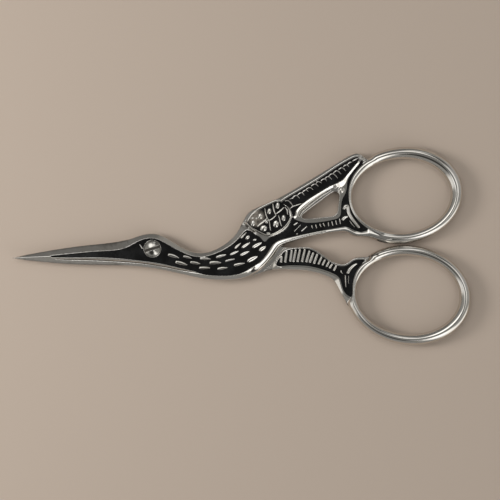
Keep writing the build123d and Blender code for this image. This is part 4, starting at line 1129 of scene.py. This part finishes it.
def band(n, across, middle, half):
    """1 within a distance of the middle of a coordinate, in metres, with a soft edge."""
    off = n.math("ABSOLUTE", n.math("SUBTRACT", across, middle))
    return n.remap(off, half * 0.8, half * 1.1, 1, 0)


def own_place(n):
    """The piece's own coordinates, in metres, one by one."""
    split = n.tree.nodes.new("ShaderNodeSeparateXYZ")
    n.put(split.inputs[0], n.tree.nodes.new("ShaderNodeTexCoord").outputs["Object"])
    return split.outputs


def metal(name, colour, smooth, marks, slot=False):
    """Polished plating: even, with faint waves, fine handling scratches and dull spots, and darker, rougher hollows
    where soiling and painted shade are put into its colour.
    """
    material = bpy.data.materials.new(name)
    material.use_nodes = True
    n = Nodes(material.node_tree)
    here = place_of(n)
    cloud = n.noise(here, 0.22, 3)
    spots = n.noise(here, 1.7, 4, 0.6)
    fine = n.noise(place_of(n, (1.0, 9.0, 5.0), 24), 1.3, 3, 0.6)
    cross = n.noise(place_of(n, (8.0, 0.8, 5.0), -37), 1.1, 3, 0.6)
    hairs = n.math("MAXIMUM", n.remap(fine, 0.62, 0.7, 0, 1), n.remap(cross, 0.64, 0.71, 0, 1))
    dull = n.remap(spots, 0.5, 0.75, 0, 1)
    rough = n.math("ADD", n.remap(cloud, 0.35, 0.7, smooth * 0.8, smooth * 1.35),
                   n.math("MULTIPLY", hairs, 0.07 * marks))
    rough = n.math("ADD", rough, n.math("MULTIPLY", dull, 0.06 * marks))
    tint = n.mix(n.remap(cloud, 0.3, 0.75, 0, 1), (*colour, 1),
                 (colour[0] * 0.94, colour[1] * 0.93, colour[2] * 0.9, 1))
    tint = n.mix(n.math("MULTIPLY", dull, 0.3), tint,
                 (colour[0] * 0.78, colour[1] * 0.75, colour[2] * 0.7, 1))
    # the vertices' map of soiling and painted shade in the hollows
    crevice = n.tree.nodes.new("ShaderNodeAttribute")
    crevice.attribute_name = "crevice"
    grime_and_shade = n.math("MULTIPLY", crevice.outputs["Fac"], n.remap(spots, 0.25, 0.6, 0.6, 1.0))
    # on the screw, painted shade with some soiling instead: dark inside the slot and round the lower edge of the head
    if slot:
        x, y, z = own_place(n)
        c, s = math.cos(math.radians(SLOT_ANGLE)), math.sin(math.radians(SLOT_ANGLE))
        across = n.math("SUBTRACT", n.math("MULTIPLY", y, c), n.math("MULTIPLY", x, s))
        deep = n.math("MULTIPLY", band(n, across, 0.0, 0.00034), n.remap(z, 0.00362, 0.00378, 1, 0))
        rim = n.math("MULTIPLY", n.remap(z, 0.00335, 0.0036, 0.5, 0), n.remap(spots, 0.3, 0.6, 0.5, 1.0))
        grime_and_shade = n.math("MULTIPLY", n.math("MAXIMUM", n.math("MULTIPLY", deep, 0.9), rim), n.remap(z, 0.0028, 0.003, 0, 1))
    # hollows darkened almost to black: painted shade along with soiling
    tint = n.mix(grime_and_shade, tint, (0.05, 0.043, 0.036, 1))
    rough = n.math("ADD", rough, n.math("MULTIPLY", grime_and_shade, 0.3))
    bump = n.add("ShaderNodeBump", Strength=0.25, Distance=0.00002)
    height = n.math("ADD", n.math("MULTIPLY", n.noise(here, 0.5, 2), 1.0), n.math("MULTIPLY", hairs, -0.05 * marks))
    n.put(bump.inputs["Height"], height)
    shader = n.add("ShaderNodeBsdfPrincipled", Metallic=1.0)
    n.put(shader.inputs["Base Color"], tint)
    n.put(shader.inputs["Roughness"], rough)
    n.put(shader.inputs["Normal"], bump.outputs[0])
    out = n.tree.nodes.new("ShaderNodeOutputMaterial")
    n.put(out.inputs["Surface"], shader.outputs[0])
    return material


def enamel(name):
    """Black baked lacquer: glossy, a little uneven, with dust and fine rubbing."""
    material = bpy.data.materials.new(name)
    material.use_nodes = True
    n = Nodes(material.node_tree)
    here = place_of(n)
    peel = n.noise(here, 1.6, 2)
    cloud = n.noise(here, 0.35, 3)
    specks = n.noise(here, 7.0, 3, 0.7)
    dust = n.remap(specks, 0.66, 0.78, 0, 1)
    tint = n.mix(n.remap(cloud, 0.35, 0.7, 0, 1), (0.0025, 0.0025, 0.0025, 1), (0.005, 0.0053, 0.0057, 1))
    tint = n.mix(n.math("MULTIPLY", dust, 0.25), tint, (0.06, 0.055, 0.05, 1))
    x, y, z = own_place(n)
    off = [n.math("SUBTRACT", x, 0.0262), n.math("SUBTRACT", y, 0.0067)]
    away = n.math("SQRT", n.math("ADD", n.math("MULTIPLY", off[0], off[0]), n.math("MULTIPLY", off[1], off[1])))
    worn = n.math("MULTIPLY", n.remap(away, 0.0013, 0.0026, 1, 0), n.remap(peel, 0.3, 0.6, 0.35, 1))
    tint = n.mix(worn, tint, (0.2, 0.178, 0.152, 1))
    rough = n.math("ADD", n.remap(cloud, 0.35, 0.7, 0.13, 0.24), n.math("MULTIPLY", dust, 0.25))
    rough = n.math("ADD", rough, n.math("MULTIPLY", worn, 0.2))
    bump = n.add("ShaderNodeBump", Strength=0.35, Distance=0.00005)
    n.put(bump.inputs["Height"], peel)
    shader = n.add("ShaderNodeBsdfPrincipled")
    n.put(shader.inputs["Base Color"], tint)
    n.put(shader.inputs["Roughness"], rough)
    n.put(shader.inputs["Normal"], bump.outputs[0])
    shader.inputs["Specular IOR Level"].default_value = 0.3
    out = n.tree.nodes.new("ShaderNodeOutputMaterial")
    n.put(out.inputs["Surface"], shader.outputs[0])
    return material


plating = metal("polished_plating", (0.69, 0.67, 0.64), 0.055, 1.0)
screw_steel = metal("screw_steel", (0.54, 0.525, 0.5), 0.12, 1.3, True)
black = enamel("black_lacquer")
for piece in (front_half, back_half):
    piece.data.materials.append(plating)
pivot_screw.data.materials.append(screw_steel)
for piece in (front_body_lacquer, front_tail_lacquer, front_wing_lacquer, leg_lacquer,
              back_body_lacquer, back_shank_lacquer, back_tail_lacquer, back_wing_lacquer):
    piece.data.materials.append(black)

# ---------------------------------------------------------------- floor, light and camera

def plain_floor():
    mesh = bpy.data.meshes.new("floor")
    s = 1.2
    mesh.from_pydata([(-s, -s, 0), (s, -s, 0), (s, s, 0), (-s, s, 0)], [], [(0, 1, 2, 3)])
    floor = bpy.data.objects.new("floor", mesh)
    bpy.context.scene.collection.objects.link(floor)
    floor.location = (0.022, 0, -0.00002)
    material = bpy.data.materials.new("floor")
    material.use_nodes = True
    n = Nodes(material.node_tree)
    shader = n.add("ShaderNodeBsdfPrincipled", Roughness=0.9)
    shader.inputs["Base Color"].default_value = (0.49, 0.412, 0.35, 1)
    shader.inputs["Specular IOR Level"].default_value = 0.1
    out = n.tree.nodes.new("ShaderNodeOutputMaterial")
    n.put(out.inputs["Surface"], shader.outputs[0])
    mesh.materials.append(material)


def studio_world():
    """A soft studio: a dim room, grey overhead where the camera is, with bright and dark soft boxes round it.
    Each patch: azimuth, angle from straight up, radius and softness, in degrees, brightness and colour."""
    world = bpy.data.worlds.new("studio")
    bpy.context.scene.world = world
    world.use_nodes = True
    n = Nodes(world.node_tree)
    way = n.tree.nodes.new("ShaderNodeTexCoord").outputs["Generated"]
    split = n.tree.nodes.new("ShaderNodeSeparateXYZ")
    n.put(split.inputs[0], way)
    high = split.outputs["Z"]
    colour = n.mix(n.remap(high, 0.0, 0.5, 0, 1), (0.29, 0.275, 0.25, 1), (0.34, 0.335, 0.32, 1))
    colour = n.mix(n.remap(high, 0.93, 0.995, 0, 1), colour, (0.21, 0.208, 0.20, 1))
    for azimuth, away, radius, soft, bright, tone in PATCHES:
        a, t = math.radians(azimuth), math.radians(away)
        dot = n.tree.nodes.new("ShaderNodeVectorMath")
        dot.operation = "DOT_PRODUCT"
        n.put(dot.inputs[0], way)
        dot.inputs[1].default_value = (math.sin(t) * math.cos(a), math.sin(t) * math.sin(a), math.cos(t))
        inside = n.remap(dot.outputs["Value"], math.cos(math.radians(radius + soft)),
                         math.cos(math.radians(max(0.0, radius - soft))), 0, 1)
        colour = n.mix(inside, colour, tuple(bright * c for c in tone) + (1,))
    back = n.tree.nodes.new("ShaderNodeBackground")
    n.put(back.inputs["Color"], colour)
    back.inputs["Strength"].default_value = 1.0
    out = n.tree.nodes.new("ShaderNodeOutputWorld")
    n.put(out.inputs["Surface"], back.outputs[0])


WARM, COOL = (1.0, 0.975, 0.93), (1.0, 0.99, 0.965)
PATCHES = (
    (150, 86, 26, 12, 0.26, WARM),
    (98, 78, 26, 9, 0.19, WARM),
    (20, 88, 30, 12, 0.42, WARM),
    (262, 84, 30, 12, 0.29, WARM),
    (118, 29, 15, 4, 1.9, COOL),
    (147, 18, 6, 3, 1.7, COOL),
    (70, 30, 9, 4, 1.3, COOL),
    (70, 52, 9, 5, 0.72, COOL),
    (49, 47, 11, 7, 0.08, WARM),
    (46, 20, 5, 3, 0.12, WARM),
    (8, 20, 9, 4, 1.25, COOL),
    (25, 38, 9, 5, 0.55, COOL),
    (295, 21, 6, 3, 1.7, COOL),
    (298, 38, 9, 4, 2.0, COOL),
    (304, 58, 12, 6, 1.6, COOL),
    (320, 83, 22, 9, 1.3, WARM),
    (196, 20, 8, 4, 1.35, COOL),
    (200, 42, 10, 5, 0.80, COOL),
    (202, 62, 12, 6, 0.95, WARM),
    (200, 86, 14, 8, 1.0, WARM),
    (254, 30, 17, 5, 0.05, WARM),
    (340, 28, 6, 4, 0.30, WARM),
)
plain_floor()
studio_world()

key = bpy.data.lights.new("key", "AREA")
key.shape, key.size = "DISK", 0.16
key.energy = 0.95
key.color = (1.0, 0.97, 0.93)
key_object = bpy.data.objects.new("key", key)
bpy.context.scene.collection.objects.link(key_object)
where = np.array((-0.32, 0.05, 0.22))
key_object.location = where
key_object.rotation_euler = Vector(np.array((0.024, 0.0, 0.0)) - where).to_track_quat("-Z", "Y").to_euler()
key_object.visible_glossy = False

lens = bpy.data.cameras.new("camera")
lens.sensor_width = 36
lens.lens = 36 * 0.450 / 0.125
lens.clip_start, lens.clip_end = 0.05, 10
camera = bpy.data.objects.new("camera", lens)
bpy.context.scene.collection.objects.link(camera)
camera.location = (0.02437, -0.00120, 0.453)
camera.rotation_euler = (0, 0, math.radians(-2.06))
bpy.context.scene.camera = camera
bpy.context.scene.view_settings.view_transform = "Standard"
